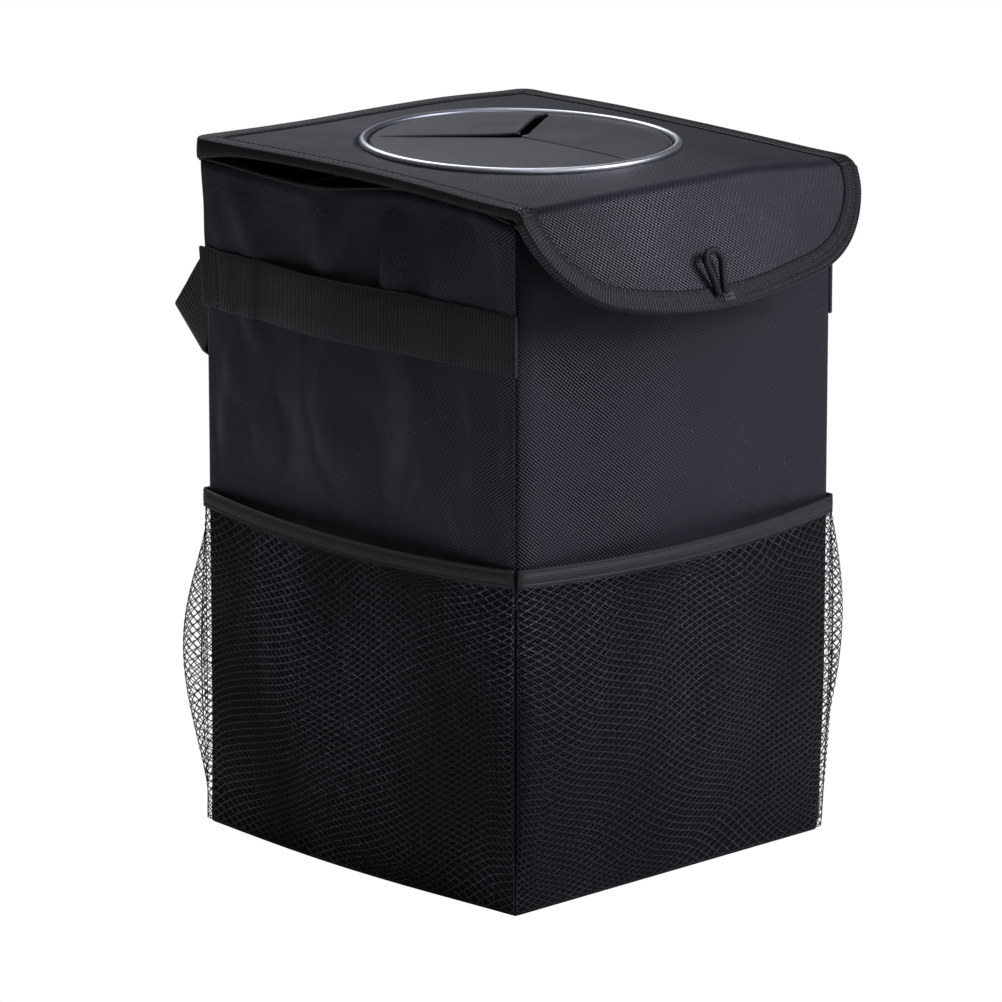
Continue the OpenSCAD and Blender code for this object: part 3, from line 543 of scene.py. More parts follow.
def oxford_finish(name, ground, floats, clear, roughness, relief, ramps=(), slant=1.0, turned_at=None,
        shaded=(), painted_flap_shadow=None, creased=0.0):
    """Oxford cloth. ramps change how clear its weave is along its flat pattern, turned_at is where its
    slant turns over, shaded tells where a painted shade fades it to a share of its colour, the next one
    paints the flap's shadow on the corner under the flap (from and to, up and across, and the share
    left), and creased is the depth in millimetres of the fine creases beyond turned_at."""
    material, tree, shader = finish(name, ground, roughness)
    place = node(tree, "SeparateXYZ", flat_cloth(tree)).outputs
    for axis, *span, operation in ramps:
        ramp = ranged(tree, place[axis], *span, interpolation_type="SMOOTHSTEP")
        clear = math_node(tree, operation, ramp, clear)
    if turned_at:
        beyond = math_node(tree, "GREATER_THAN", place["X"], turned_at)
        slant = math_node(tree, "MULTIPLY_ADD", beyond, -2.0, slant)
    weave = place_group(tree, oxford, Vector=flat_cloth(tree), Clear=clear, Slant=slant)
    relief_node = bump(tree, shader, weave["Height"], relief)
    if creased:
        drawn_out = scaled_place(tree, flat_cloth(tree), (1.0, 0.45, 1.0))
        wandering = math_node(tree, "SUBTRACT", speckle(tree, drawn_out, 30.0, 2.0, 0.45), 0.5)
        away = math_node(tree, "ABSOLUTE", wandering)
        ridge = ranged(tree, away, 0.0, 0.14, 0.0, 1.0, interpolation_type="SMOOTHSTEP")
        crease = node(tree, "Bump", 1.0, creased * mm)
        tree.links.new(math_node(tree, "MULTIPLY", ridge, beyond), crease.inputs["Height"])
        tree.links.new(crease.outputs["Normal"], relief_node.inputs["Normal"])
    shown = weave["Float"]
    # Painted shade: where shaded says, the colour is darkened to a share of itself
    for axis, low, high, share in shaded:
        shown = math_node(tree, "MULTIPLY", ranged(tree, place[axis], low, high, share, 1.0), shown)
    # Painted shadow of the flap, darkening the corner under it
    if painted_flap_shadow:
        under = ranged(tree, place["Y"], *painted_flap_shadow[:2], 1.0, painted_flap_shadow[4])
        beside = ranged(tree, place["X"], *painted_flap_shadow[2:4], painted_flap_shadow[4], 1.0)
        shown = math_node(tree, "MULTIPLY", math_node(tree, "MAXIMUM", under, beside), shown)
    colour_by(tree, shader, shown, ground, floats)
    tree.links.new(ranged(tree, shown, 0.0, 1.0, 0.0, 0.75), shader.inputs["Specular IOR Level"])
    rough = ranged(tree, weave["Cloud"], 0.0, 1.0, roughness + 0.06, roughness - 0.06)
    tree.links.new(rough, shader.inputs["Roughness"])
    return material


# The weave shows most at the left of the front and toward the front of the left wall, and fades near the top
# of the walls under the flap and lid, a painted shade. The cloth is painted darker behind the nets and on the
# roll of the front left seam, and the flap's shadow is painted on the front's upper left.
wall_ramps = [("X", 0.045, 0.135, 1.0, 0.12, "MULTIPLY"), ("Y", 0.225, 0.242, 1.0, 0.25, "MULTIPLY"),
    ("X", 0.640, 0.735, 0.12, 0.6, "MAXIMUM")]
wall_finish = oxford_finish("oxford_walls", (0.0004, 0.0004, 0.0009), (0.070, 0.069, 0.094), 1.0, 0.50, 0.08,
    ramps=wall_ramps, turned_at=0.4,
    shaded=[("Y", 0.135, 0.141, 0.38), ("X", 0.002, 0.012, 0.6)],
    painted_flap_shadow=(0.224, 0.242, 0.09, 0.15, 0.45), creased=0.7)
bag.data.materials.append(wall_finish)
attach(bag, "bin")
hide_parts("front_panel", "back_panel", "left_panel", "right_panel", "corner_seam_front_left",
    "corner_seam_front_right", "corner_seam_back_left", "corner_seam_back_right")

# Base of the bag
# One panel of the same cloth over a board, with its edges rolled under the four walls.
base_t = 2.0
base_edge = np.array([[0, 0.0], [0.5, 0.12], [0.88, 0.55], [1.0, 1.1], [0.88, 1.6], [0.5, base_t]])
base_in, base_roll = 1.3, 1.0
ring_count = 88
turn = np.linspace(0, 2 * math.pi, ring_count + 1) - math.pi / 4
squared = np.maximum(np.abs(np.cos(turn)), np.abs(np.sin(turn)))


def base_ring(inset, share, z):
    """A square ring of the base: inset from the walls, then drawn to a share of its size."""
    return np.column_stack([share * (half_w - inset) * np.cos(turn) / squared,
        share * (half_d - inset) * np.sin(turn) / squared, np.full(turn.size, z)])


rows = [base_ring(base_in + base_roll, share, 0.0) for share in (0.0, 0.3, 0.6, 0.85)]
rows += [base_ring(base_in + base_roll * (1 - reach), 1.0, z) for reach, z in base_edge]
rows += [base_ring(0.0, share, base_t) for share in (0.85, 0.5, 0.0)]
base = grid_piece("base_cloth", leaning(np.array(rows)), wrap=True)
close_up(base, 0.00001)
base_finish = oxford_finish("oxford_base", (0.012, 0.012, 0.014), (0.045, 0.045, 0.052), 0.5, 0.6, 0.1)
base.data.materials.append(base_finish)
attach(base, "bin")
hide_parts("base_panel")

# Mouth hem and waterproof liner
# The cloth's top edge is turned to the inside over the liner and sewn. The rim is one rolled
# section swept round the mouth; below it, the liner is a loose smooth film with soft folds.
facing_h, stitch_down = 16.0, 11.0
wave_deep, liner_t, liner_low, liner_flat = 0.7, 0.35, -279.4, (0.700, 0.355)


def stitches(name, spots, dirs, outs, size, material, body):
    """Small threads lying on a face: their middles, directions and outward normals, and their size as
    [half length, half width, rise]. A row without a body is left unattached here, and its caller bakes it in
    place."""
    bpy.ops.mesh.primitive_uv_sphere_add(segments=6, ring_count=4, radius=1)
    made = bpy.context.object
    made.name = name
    ball = points_of(made)[None]
    threads = made.modifiers.new("row", "ARRAY")
    threads.count = len(spots)
    threads.use_relative_offset = False
    apply_all(made)
    ahead, up = unit(dirs), unit(outs)
    side = np.cross(up, ahead)
    length, width, rise = size
    move_points(made, spots[:, None] + ball[:, :, 2:3] * length * ahead[:, None]
        + ball[:, :, 0:1] * width * side[:, None] + ball[:, :, 1:2] * rise * up[:, None])
    made.data.materials.append(material)
    close_up(made)
    bpy.ops.object.shade_smooth()
    if body:
        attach(made, body)
    return made


thread_finish = finish("sewing_thread", (0.022, 0.022, 0.026), 0.42)[0]


def spaced(points, pitch):
    """Evenly spaced places along a line of points, from half a pitch on, and the directions there."""
    run = run_along(points)
    marks = np.arange(0.5 * pitch, run[-1], pitch)
    ahead, behind = at_marks(marks + 0.3, run, points), at_marks(marks - 0.3, run, points)
    return at_marks(marks, run, points), ahead - behind + [0, 0, 1e-6]


rim_section = [[-1.1, -2.0], [-0.2, -1.9], [0.0, -1.2], [-0.05, -0.5], [-0.4, -0.08], [-1.0, 0.0],
    [-1.9, 0.0], [-2.6, -0.1], [-3.05, -0.5], [-3.2, -1.3], [-3.25, -6.0], [-3.2, -11.0], [-3.25, -15.2],
    [-3.0, -facing_h], [-2.4, -facing_h], [-2.3, -15.0], [-2.3, -5.0], [-2.0, -2.2]]
# The front and back walls hold a board, so whatever lies inside them starts further in
end_shift, shifts_from = end_stack - side_stack, -1.3
mouth_steps = np.linspace(-1, 1, 65)[:-1]


def mouth_sweep(section, wave=None):
    """Sweeps a section of [out, up] points round the mouth; out counts from the face of the cloth."""
    rows = []
    for out, up in section:
        ring = []
        for side in range(4):
            inner = max(-out, 1.0) + (end_shift if side % 2 and out < shifts_from else 0)
            reach = out - (end_shift if side % 2 == 0 and out < shifts_from else 0)
            line = mouth_steps * (wall_halves[side] - inner)
            ripple = 0 if wave is None else wave(side, line, up)
            ring.append(around(side, line, reach + ripple, mouth_top + up - mouth_line(side, line)))
        ring.append(ring[0][:1])
        rows.append(np.concatenate(ring))
    return np.array(rows)


hem = grid_piece("mouth_rim", leaning(mouth_sweep([*rim_section, rim_section[0]])), wrap=True)
hem_colours = [(0.013, 0.013, 0.015), (0.012, 0.012, 0.014), (0.030, 0.030, 0.034)]
hem_finish = ribbed_finish("binding_rim", hem_colours, 0.6, 0.0011, 0.0013, 0.12)
hem.data.materials.append(hem_finish)
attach(hem, "bin")
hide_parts("mouth_hem")


def liner_wave(side, along, up):
    """Soft waves of the liner, which start at its sewn edge and differ from wall to wall."""
    depth = -up / mouth_top
    held = min(1, 4 * depth)
    return np.array([wave_deep * noise.noise(Vector((a * 0.045 + 7.0 * side, depth * 2.2, 3.0))) * held
        for a in along])


liner_rows = [[-2.7, -facing_h + 2.0], [-2.75, -facing_h - 2.0]]
liner_rows += [[-3.0, up] for up in np.linspace(-facing_h - 8, -272, 22)]
liner_rows += [[-3.4, -276.0], [-4.6, -278.6], [-7.0, -279.3]]
liner_rows += [[-reach, liner_low] for reach in (24.0, 48.0, 70.0, 86.0)]
liner_points = mouth_sweep(liner_rows, liner_wave)
# The dips of the mouth die out toward the level bottom
level_share = np.clip((np.arange(len(liner_rows)) - 2) / 20, 0, 1)[:, None]
dips = np.array([mouth_line(side, along) for side in range(4)
    for along in mouth_steps * (wall_halves[side] - 3)] + [0])
liner_points[:, :, 2] += level_share * dips[None]
liner = grid_piece("liner_film", leaning(liner_points), wrap=True)
thicken(liner, liner_t)
liner_finish, tree, shader = finish("coated_liner", (0.020, 0.021, 0.024), 0.34, Coat_Weight=0.25,
    Coat_Roughness=0.2)
bump(tree, shader, speckle(tree, flat_cloth(tree), 18.0, 4.0, 0.6), 1.2, 0.5)
liner.data.materials.append(liner_finish)
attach(liner, "bin")
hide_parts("liner")

mouth_stitch, stitch_rise = 3.4, 0.08
spots, dirs, outs = [], [], []
for side in range(4):
    half = wall_halves[side] - 5
    along = np.linspace(-half, half, 60)
    line = around(side, along, 0.0, mouth_top - stitch_down - mouth_line(side, along))
    at_spots, at_dirs = spaced(line, mouth_stitch)
    outward = wall_outward[side]
    along_wall = at_spots[:, side % 2] * [1, 1, -1, -1][side]
    at_spots += outward * (folded(side, along_wall, at_spots[:, 2]) + stitch_rise)[:, None]
    spots.append(at_spots)
    dirs.append(at_dirs)
    outs.append(np.tile(outward, (len(at_spots), 1)))
stitches("mouth_stitches", leaning(np.vstack(spots)), np.vstack(dirs), np.vstack(outs), [1.15, 0.24, 0.2],
    thread_finish, "bin")

# Mesh pockets
# Each of the four pockets is one net of diamond meshes, knitted from glossy thread.
# It bellies out from the wall and is gathered under the tape at its mouth.
net_cells = [[31, 44], [31, 36], [31, 36], [31, 44]]
net_thread, net_round = 0.40, 0.28
pocket_h, hem_h, hem_t, pocket_bow, hem_sag = 144.0, 7.0, 1.6, 7.5, 2.5
net_low, net_short, net_gap, tape_gap = 1.5, 0.3, 0.2, 0.1
net_out, net_out_least = 0.75, 0.7
# Each net: [how far it bellies out, how far it swells past the corner, and the heights it does so between]
pockets = [[8, 0, 6, 144], [17, 2, 40, 142], [26, 3, 12, 130], [8, 0, 6, 144]]
# Soft folds of a net, in shares of its size: [place across, place up, reach across, lean, height in mm].
# They are as tall as a share of the net, and draw its threads together at their crests
fold_tall, fold_slide = 0.42, 0.30
net_folds = [[[-0.55, 0.62, 0.10, 0.55, -1.6], [-0.28, 0.80, 0.13, 0.45, 1.2], [0.05, 0.55, 0.12, 0.65, -1.5],
    [0.30, 0.72, 0.12, 0.50, 1.1], [0.58, 0.50, 0.12, 0.60, -1.1], [-0.75, 0.30, 0.10, 0.30, 0.9]],
    [[-0.5, 0.6, 0.12, 0.3, -1.6], [0.1, 0.5, 0.14, -0.3, 1.6], [0.55, 0.6, 0.12, -0.4, -1.4]],
    [[-0.5, 0.6, 0.12, 0.3, -1.4], [0.1, 0.5, 0.14, -0.3, 1.4], [0.5, 0.6, 0.12, -0.2, -1.3]],
    [[-0.52, 0.55, 0.11, -0.30, -1.7], [-0.25, 0.70, 0.12, -0.20, 1.4], [0.12, 0.50, 0.12, -0.35, -1.7],
    [0.42, 0.72, 0.15, -0.25, 1.3], [0.70, 0.40, 0.10, -0.30, -1.1]]]


def net_width(side):
    """Places across a net's fullest line and the length of net that reaches each of them."""
    belly, swell = pockets[side][:2]
    half = wall_halves[side] - net_gap
    across = np.sin(np.linspace(-1, 1, 2001) * math.pi / 2)
    line = np.column_stack([half * across + swell * across ** 7,
        belly * np.clip(1 - across ** 4, 0, 1) ** 0.25])
    return across, run_along(line)


def net_place(side, share, v):
    """A net's point from its share of the net's width (-1 to 1) and its place up (0 to 1)."""
    belly, swell, low, high = pockets[side]
    half = wall_halves[side] - net_gap
    across, length = net_width(side)
    u = np.interp(share, 2 * length / length[-1] - 1, across)
    top = pocket_h - hem_sag * (1 - u * u) - hem_h - net_short
    # The net moves less toward its sewn edges
    held = np.clip((1 - np.abs(u)) / 0.12, 0, 1) * np.clip(v / 0.10, 0, 1) * np.clip((1 - v) / 0.08, 0, 1)
    fold = np.zeros_like(u)
    slide = np.zeros_like(u)
    for place, up, reach, lean, height in net_folds[side]:
        off = (u - place - lean * (v - up)) / reach
        fold += height * np.exp(-off * off) * np.exp(-((v - up) / fold_tall) ** 2)
        slide -= fold_slide * height * reach * off * np.exp(-off * off)
    gathers = 0.35 * np.sin(46 * u + 9 * side) * np.exp(-((1 - v) / 0.09) ** 2)
    sway = 0.028 * np.sin(3.3 * u + 2.6 * v + 1.3 * side) + 0.016 * np.sin(7.0 * u - 5.0 * v + side)
    drift = 0.05 * slide + 0.030 * np.sin(5.5 * v + 3.1 * u + side)
    z = net_low + (top - net_low) * (v + sway * held)
    rise = fade(z, low, high)
    along = half * (u + drift * held) + swell * rise * u ** 7
    out = (net_out + belly * rise * np.clip(1 - u ** 4, 0, 1) ** 0.25 + pocket_bow * (1 - u * u) * v * v
        + fold * held + gathers * np.clip((1 - np.abs(u)) / 0.1, 0, 1))
    return around(side, along, np.maximum(out, net_out_least), z)


net_finish, tree, shader = finish("net_thread", (0.016, 0.016, 0.020), 0.40, Specular_IOR_Level=0.35)
spot = own_place(tree)
twist = speckle(tree, spot, 900.0, 3.0, 0.6)
bump(tree, shader, twist, 0.25, 0.7)
# The thread's bright colour is a painted glint. It lies in patches of painted light and shade, and is
# painted brighter on the left net and darker to the right and low down
patches = speckle(tree, scaled_place(tree, spot, (1.0, 1.0, 0.5)), 24.0, 2.0, 0.5, 0.0)
lying = ranged(tree, patches, 0.42, 0.58, 0.15, 1.15)
net_painted_light_ramps = [("X", -0.092, -0.080, 1.0, 0.58), ("X", -0.02, 0.05, 1.0, 0.66), ("Z", 0.02, 0.09, 0.62, 1.0)]
glint = math_node(tree, "MULTIPLY", ranged(tree, twist, 0.50, 0.68, 0.10, 1.0), faded(tree, lying, net_painted_light_ramps))
colour_by(tree, shader, glint, (0.009, 0.009, 0.012), (0.285, 0.290, 0.340))

hem_tape_colours = [(0.014, 0.014, 0.016), (0.012, 0.012, 0.014), (0.040, 0.041, 0.046)]
hem_tape_finish = ribbed_finish("pocket_tape", hem_tape_colours, 0.5, 0.0009, 0.0016, 0.14)
net_names = ["front", "right", "back", "left"]
hem_out, hem_stitch = 0.3, 2.7
for side in range(4):
    flat_width = net_width(side)[1][-1]
    height = pocket_h - hem_h - net_low
    cells_across, cells_up = net_cells[side]
    bpy.ops.mesh.primitive_grid_add(x_subdivisions=cells_across, y_subdivisions=cells_up, size=1)
    net = bpy.context.object
    net.name = net_names[side] + "_mesh_pocket"
    wide, tall = flat_width * mm, height * mm
    net.data.transform(((wide, 0, 0, 0), (0, tall, 0, 0), (0, 0, 1, 0), (0, 0, 0, 1)))
    knots = (cells_across + 1) * (cells_up + 1)
    bpy.ops.object.mode_set(mode="EDIT")
    bpy.ops.mesh.select_all(action="SELECT")
    bpy.ops.mesh.poke()
    bpy.ops.mesh.select_mode(type="EDGE")
    bpy.ops.mesh.select_all(action="DESELECT")
    bpy.ops.object.mode_set(mode="OBJECT")
    # The square cells' own edges go, and the crossing diagonals are left as the diamonds
    ends = np.zeros(len(net.data.edges) * 2, int)
    net.data.edges.foreach_get("vertices", ends)
    ends = ends.reshape(-1, 2)
    middle = points_of(net)[ends].mean(axis=1)
    inside = (np.abs(middle[:, 0]) < wide * 0.499) & (np.abs(middle[:, 1]) < tall * 0.499)
    net.data.edges.foreach_set("select", (ends < knots).all(axis=1) & inside)
    bpy.ops.object.mode_set(mode="EDIT")
    bpy.ops.mesh.dissolve_edges(use_verts=False)
    bpy.ops.mesh.select_mode(type="FACE")
    bpy.ops.mesh.select_all(action="SELECT")
    bpy.ops.mesh.inset(thickness=net_thread / 2 * mm, depth=-0.12 * mm, use_individual=True)
    bpy.ops.mesh.delete(type="FACE")
    bpy.ops.object.mode_set(mode="OBJECT")
    flat = points_of(net)
    u, v = 2 * flat[:, 0] / wide, flat[:, 1] / tall + 0.5
    place = net_place(side, np.clip(u, -1, 1), np.clip(v, 0, 1))
    outward = wall_outward[side]
    move_points(net, leaning(place + outward * (flat[:, 2:3] / mm)))
    thicken(net, net_round)
    bpy.ops.object.shade_smooth()
    net.data.materials.append(net_finish)
    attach(net, "bin")
    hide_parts(net_names[side] + "_net")

    # Tape at the pocket's mouth, with the channels of its two seams
    u = np.linspace(-1, 1, 49)
    half = wall_halves[side] - tape_gap
    bow = pocket_bow * (1 - u * u)
    tape_top = pocket_h - hem_sag * (1 - u * u)
    tape = [[0.15, 0.1], [0.35, -0.15], [0.9, -0.45], [hem_t - 0.3, -0.4], [hem_t, 0.0], [hem_t, 0.9],
        [hem_t - 0.25, 1.2], [hem_t, 1.5], [hem_t + 0.05, 3.4], [hem_t, 5.3], [hem_t - 0.25, 5.6],
        [hem_t, 5.9], [hem_t, 6.7], [hem_t - 0.3, 7.1], [0.9, 7.2], [0.35, 7.0], [0.15, 6.6], [0.15, 3.4],
        [0.15, 0.1]]
    rows = [around(side, half * u, hem_out + bow + out, tape_top - hem_h + up) for out, up in tape]
    pocket_tape = grid_piece(net_names[side] + "_pocket_tape", np.array(rows), wrap=True, caps=True)
    pocket_tape.data.materials.append(hem_tape_finish)
    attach(pocket_tape, "bin")
    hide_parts(net_names[side] + "_net_hem")
    for seam, up in [["low", 1.2], ["high", 5.6]]:
        line = around(side, half * u * 0.985, hem_out + bow + hem_t - 0.12, tape_top - hem_h + up)
        at_spots, at_dirs = spaced(line, hem_stitch)
        stitches(net_names[side] + "_pocket_seam_" + seam, at_spots, at_dirs,
            np.tile(outward, (len(at_spots), 1)), [0.95, 0.2, 0.2], thread_finish, "bin")

# Side bands, straps, buckle and slider
# A webbing band is sewn flat to each side wall and stands off it in the middle. At the back each ends
# in a strap, and the two straps meet in a side release buckle with a slider beside it.
band_w, band_t, band_bow = 25.0, 1.6, 6.5
band_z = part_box("left_band")[0].z / mm + band_w / 2
upper_half = [[band_t, band_w / 6], [band_t, band_w / 2 - 1.0], [band_t - 0.25, band_w / 2 - 0.3],
    [0.8, band_w / 2], [0.1, band_w / 2 - 0.4]]
lower_half = [[out, -up] for out, up in upper_half[::-1]]
band_section = [*lower_half, *upper_half, [0.0, 0.0], lower_half[0]]
band_seams = [35, 11]
web_colours = [(0.010, 0.010, 0.013), (0.009, 0.009, 0.012), (0.045, 0.046, 0.056)]
web_finish = ribbed_finish("webbing", web_colours, 0.45, 0.0018, 0.0011, 0.35, Specular_IOR_Level=0.32)
for name, side in [["left", 3], ["right", 1]]:
    y = np.linspace(-half_d + 0.2, half_d - 0.2, 75)
    start, stop = -half_d + band_seams[0], half_d - band_seams[1]
    rise = np.sin(math.pi * np.clip((y - start) / (stop - start), 0, 1)) ** 2
    along = -y if side == 3 else y
    # It lies on the wall's folds, and its front end is drawn into the corner seam
    lie = np.max([folded(side, along, np.full(y.size, band_z + up)) for up in (-13, -6, 0, 6, 13)], axis=0)
    out = np.maximum(band_bow * rise, lie) - 1.4 * np.exp((-half_d - y) / 7.0)
    rows = np.array([around(side, along, out + off, band_z + up) for off, up in band_section])
    rows = rows[:, ::-1] if side == 3 else rows
    band = grid_piece(name + "_webbing", leaning(rows.transpose(1, 0, 2)[:, ::-1]), wrap=True, caps=True)
    band.data.materials.append(web_finish)
    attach(band, "bin")
    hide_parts(name + "_band")
    # A row of upright stitches at each end of its free part
    places = np.array([around(side, -seam_y if side == 3 else seam_y,
        band_t + 0.25 + np.interp(seam_y, y, out), z)
        for seam_y in (start, stop) for z in np.arange(band_z - 11, band_z + 11.5, 2.4)])
    stitches(name + "_webbing_stitches", leaning(places), np.tile([0, 0, 1.0], (len(places), 1)),
        np.tile(wall_outward[side], (len(places), 1)), [0.9, 0.28, 0.3], thread_finish, "bin")

strap_out, strap_drop, strap_tilt = 13.0, 37.0, math.radians(12)
layer, wrap_r, tail_l = 0.9, 2.6, 13.0
plug_bar, socket_bar, slider_x, slider_half = 20.9, -28.5, 45.0, 10.5
slider_bar, slider_over = 1.9, 1.9 + 0.3
# Each strap's way from its straight middle to its seam: [in from the corner, out, down, tilt in degrees]
strap_ends = [[26.9, 15.5, 35.2, 18], [20, 17.6, 31.8, 27], [13.5, 18.6, 28.5, 37], [8.6, 18.3, 26.3, 43],
    [6, 16.6, 25.2, 46], [5.2, 13, 21.5, 44], [4.8, 9.4, 16.7, 36], [4.5, 5.5, 10, 24], [4.1, 2.5, 4.4, 12],
    [4, 0.9, 0, 0]]


def hanging(along, out):
    """A place on the straight middle of the strap."""
    return [-along, half_d + strap_out + out * math.cos(strap_tilt),
        band_z - strap_drop - out * math.sin(strap_tilt)]


for name, direction, bar in [["strap_left", 1, plug_bar], ["strap_right", -1, socket_bar]]:
    turns = np.radians(np.linspace(0, 180, 9))
    flat_route = [[bar + direction * tail_l, layer], [bar + direction * tail_l / 2, layer]]
    flat_route += [[bar - direction * wrap_r * math.sin(t), wrap_r * math.cos(t)] for t in turns]
    flat_route += [[bar + direction * tail_l / 2, -layer]]
    if direction > 0:
        flat_route += [[slider_x + off, -layer] for off in (-slider_half - 2, -7.5)]
        flat_route += [[slider_x + off, slider_over] for off in (-slider_bar, slider_bar)]
        flat_route += [[slider_x + off, -layer] for off in (7.5, slider_half + 2)]
    else:
        flat_route += [[-slider_x, -layer]]
    route = [[*hanging(*spot), strap_tilt] for spot in flat_route]
    for back_in, out, down, tilt in strap_ends:
        route.append([-direction * (half_w - back_in), half_d + out, band_z - down, math.radians(tilt)])
    route = np.array(route)
    run = run_along(route[:, :3])
    marks = np.linspace(0, run[-1], int(run[-1] / 1.1))
    fine = at_marks(marks, run, route)
    smooth(fine, 3)
    ahead = np.gradient(fine[:, :3], axis=0)
    width = np.column_stack([0 * marks, np.sin(fine[:, 3]), np.cos(fine[:, 3])])
    face = unit(np.cross(ahead, width))
    rows = [fine[:, :3] + face * (off - band_t / 2) + width * up for off, up in band_section]
    strap = grid_piece(name + "_webbing", np.array(rows).transpose(1, 0, 2), wrap=True, caps=True)
    strap.data.materials.append(web_finish)
    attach(strap, "bin")
    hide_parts(name)


def softened(name, node_name, edge_mm, material, body, moved=None):
    """A moulded piece: the measured shape of a node, its flat faces joined again and its edges rounded.
    moved is a function that carries its points along with the soft piece that holds it."""
    pick(bpy.data.objects[node_name])
    bpy.ops.object.duplicate()
    piece = bpy.context.object
    piece.name = name
    bpy.ops.object.mode_set(mode="EDIT")
    bpy.ops.mesh.select_all(action="SELECT")
    bpy.ops.mesh.remove_doubles(threshold=0.00001)
    bpy.ops.mesh.dissolve_limited(angle_limit=math.radians(1.5))
    bpy.ops.mesh.select_all(action="DESELECT")
    bpy.ops.object.mode_set(mode="OBJECT")
    soft = piece.modifiers.new("edges", "BEVEL")
    soft.width = edge_mm * mm
    soft.segments = 2
    soft.limit_method = "ANGLE"
    soft.angle_limit = math.radians(32)
    soft.use_clamp_overlap = True
    apply_all(piece)
    if moved:
        move_points(piece, moved(points_of(piece) / mm))
    bpy.ops.object.shade_smooth_by_angle(angle=math.radians(40))
    piece.data.materials.clear()
    piece.data.materials.append(material)
    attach(piece, body)
    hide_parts(node_name)
    return piece


moulded_finish, tree, shader = finish("moulded_plastic", (0.016, 0.016, 0.018), 0.36)
bump(tree, shader, speckle(tree, own_place(tree), 2200.0, 2.0), 0.05, 0.5)
softened("buckle_socket_moulding", "buckle_socket", 0.5, moulded_finish, "bin")
softened("buckle_plug_moulding", "buckle_plug", 0.5, moulded_finish, "bin")
softened("slider_moulding", "strap_slider", 0.35, moulded_finish, "bin")

# Lid and flap cover
# One cloth covers the lid's board, turns down over the crease, and goes on over the flap's board.
# It is tight on top, with a soft roll at the crease and a round hole for the ring.
lid_top, lid_half, lid_back, lid_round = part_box("lid_cover")[1].z / mm, 94.0, 93.6, 7.0
cover_t, roll_r, roll_back, hole_r = 1.2, 6.3, 3.097, 64.2
fold_angle = math.pi / 2 - flap_lean
roll_start = crease_y + roll_back
# The flap's outline is one wide arc that runs into a smaller one at each shoulder: their radii, how far
# down from the crease their centres are, how far out the shoulder's centre is, and where the arcs meet
bottom_r, shoulder_r, bottom_c, shoulder_c, shoulder_x = 212.0, 54.0, -159.6, -7.13, 41.4
tangent_x = 55.6


def flap_depth(x, inset=0.0):
    """How far the flap reaches down from the crease at a place across it."""
    x = np.abs(x)
    low = bottom_c + np.sqrt(np.maximum((bottom_r - inset) ** 2 - x ** 2, 0))
    high = shoulder_c + np.sqrt(np.maximum((shoulder_r - inset) ** 2 - (x - shoulder_x) ** 2, 0))
    split = tangent_x * (1 - inset / bottom_r)
    return np.where(x < split, low, high)


def over_crease(x, run, out):
    """A point on the outer cloth: run counts forward from the start of the roll on the lid."""
    angle = np.clip(run / roll_r, 0, fold_angle)
    beyond = np.maximum(run - roll_r * fold_angle, 0)
    before = np.minimum(run, 0)
    reach = roll_r + out
    y = roll_start - before - reach * np.sin(angle) - beyond * math.sin(flap_lean)
    z = lid_top - roll_r + reach * np.cos(angle) - beyond * math.cos(flap_lean)
    return np.stack(np.broadcast_arrays(x, y, z), axis=-1)


roll_l = roll_r * fold_angle
flap_from, flap_swell = 3.10, 0.55
cover_edge, hole_near = 1.2, 2.6
lid_marks = np.concatenate([np.linspace(lid_back - 0.8, lid_back - lid_round, 8), np.linspace(82, -93, 60)])
roll_marks = np.linspace(0.5, roll_l - 0.3, 9)
flap_marks = np.linspace(0, 1, 30)
across = np.sin(np.linspace(-1, 1, 73) * math.pi / 2) * 0.25 + np.linspace(-1, 1, 73) * 0.75
rows, flats = [], []
for y in lid_marks:
    corner_in = max(y - (lid_back - lid_round), 0)
    reach = lid_half - cover_edge - lid_round + math.sqrt(max(lid_round ** 2 - corner_in ** 2, 0))
    rows.append(over_crease(reach * across, roll_start - y, 0))
    flats.append(np.column_stack([reach * across, np.full(across.size, roll_start - y)]))
x = (lid_half - cover_edge) * across
for run in roll_marks:
    rows.append(over_crease(x, run, 0))
    flats.append(np.column_stack([x, np.full(across.size, run)]))
for share in flap_marks:
    run = roll_l + share * np.maximum(flap_depth(x, cover_edge) - flap_from, 0.02)
    swell = flap_swell * np.sin(math.pi * share) ** 2 * np.clip(1 - (x / 80) ** 2, 0, 1)
    rows.append(over_crease(x, run, swell))
    flats.append(np.column_stack([x, run]))
cover = grid_piece("lid_and_flap_cover", resting(np.array(rows)[:, ::-1]))
lay_flat(cover, np.array(flats)[:, ::-1])
# The cells over the hole go, and the points round it are drawn onto its edge
middle = np.zeros(len(cover.data.polygons) * 3)
cover.data.polygons.foreach_get("center", middle)
middle = middle.reshape(-1, 3) / mm
in_hole = np.hypot(middle[:, 0], middle[:, 1]) < hole_r
cover.data.polygons.foreach_set("select", in_hole)
bpy.ops.object.mode_set(mode="EDIT")
bpy.ops.mesh.select_mode(type="FACE")
bpy.ops.mesh.delete(type="FACE")
bpy.ops.mesh.select_mode(type="VERT")
bpy.ops.object.mode_set(mode="OBJECT")
spots = points_of(cover) / mm
reach = np.hypot(spots[:, 0], spots[:, 1])
near = reach < hole_r + hole_near
spots[near, :2] *= (hole_r / reach[near])[:, None]
move_points(cover, spots)
thicken(cover, cover_t)
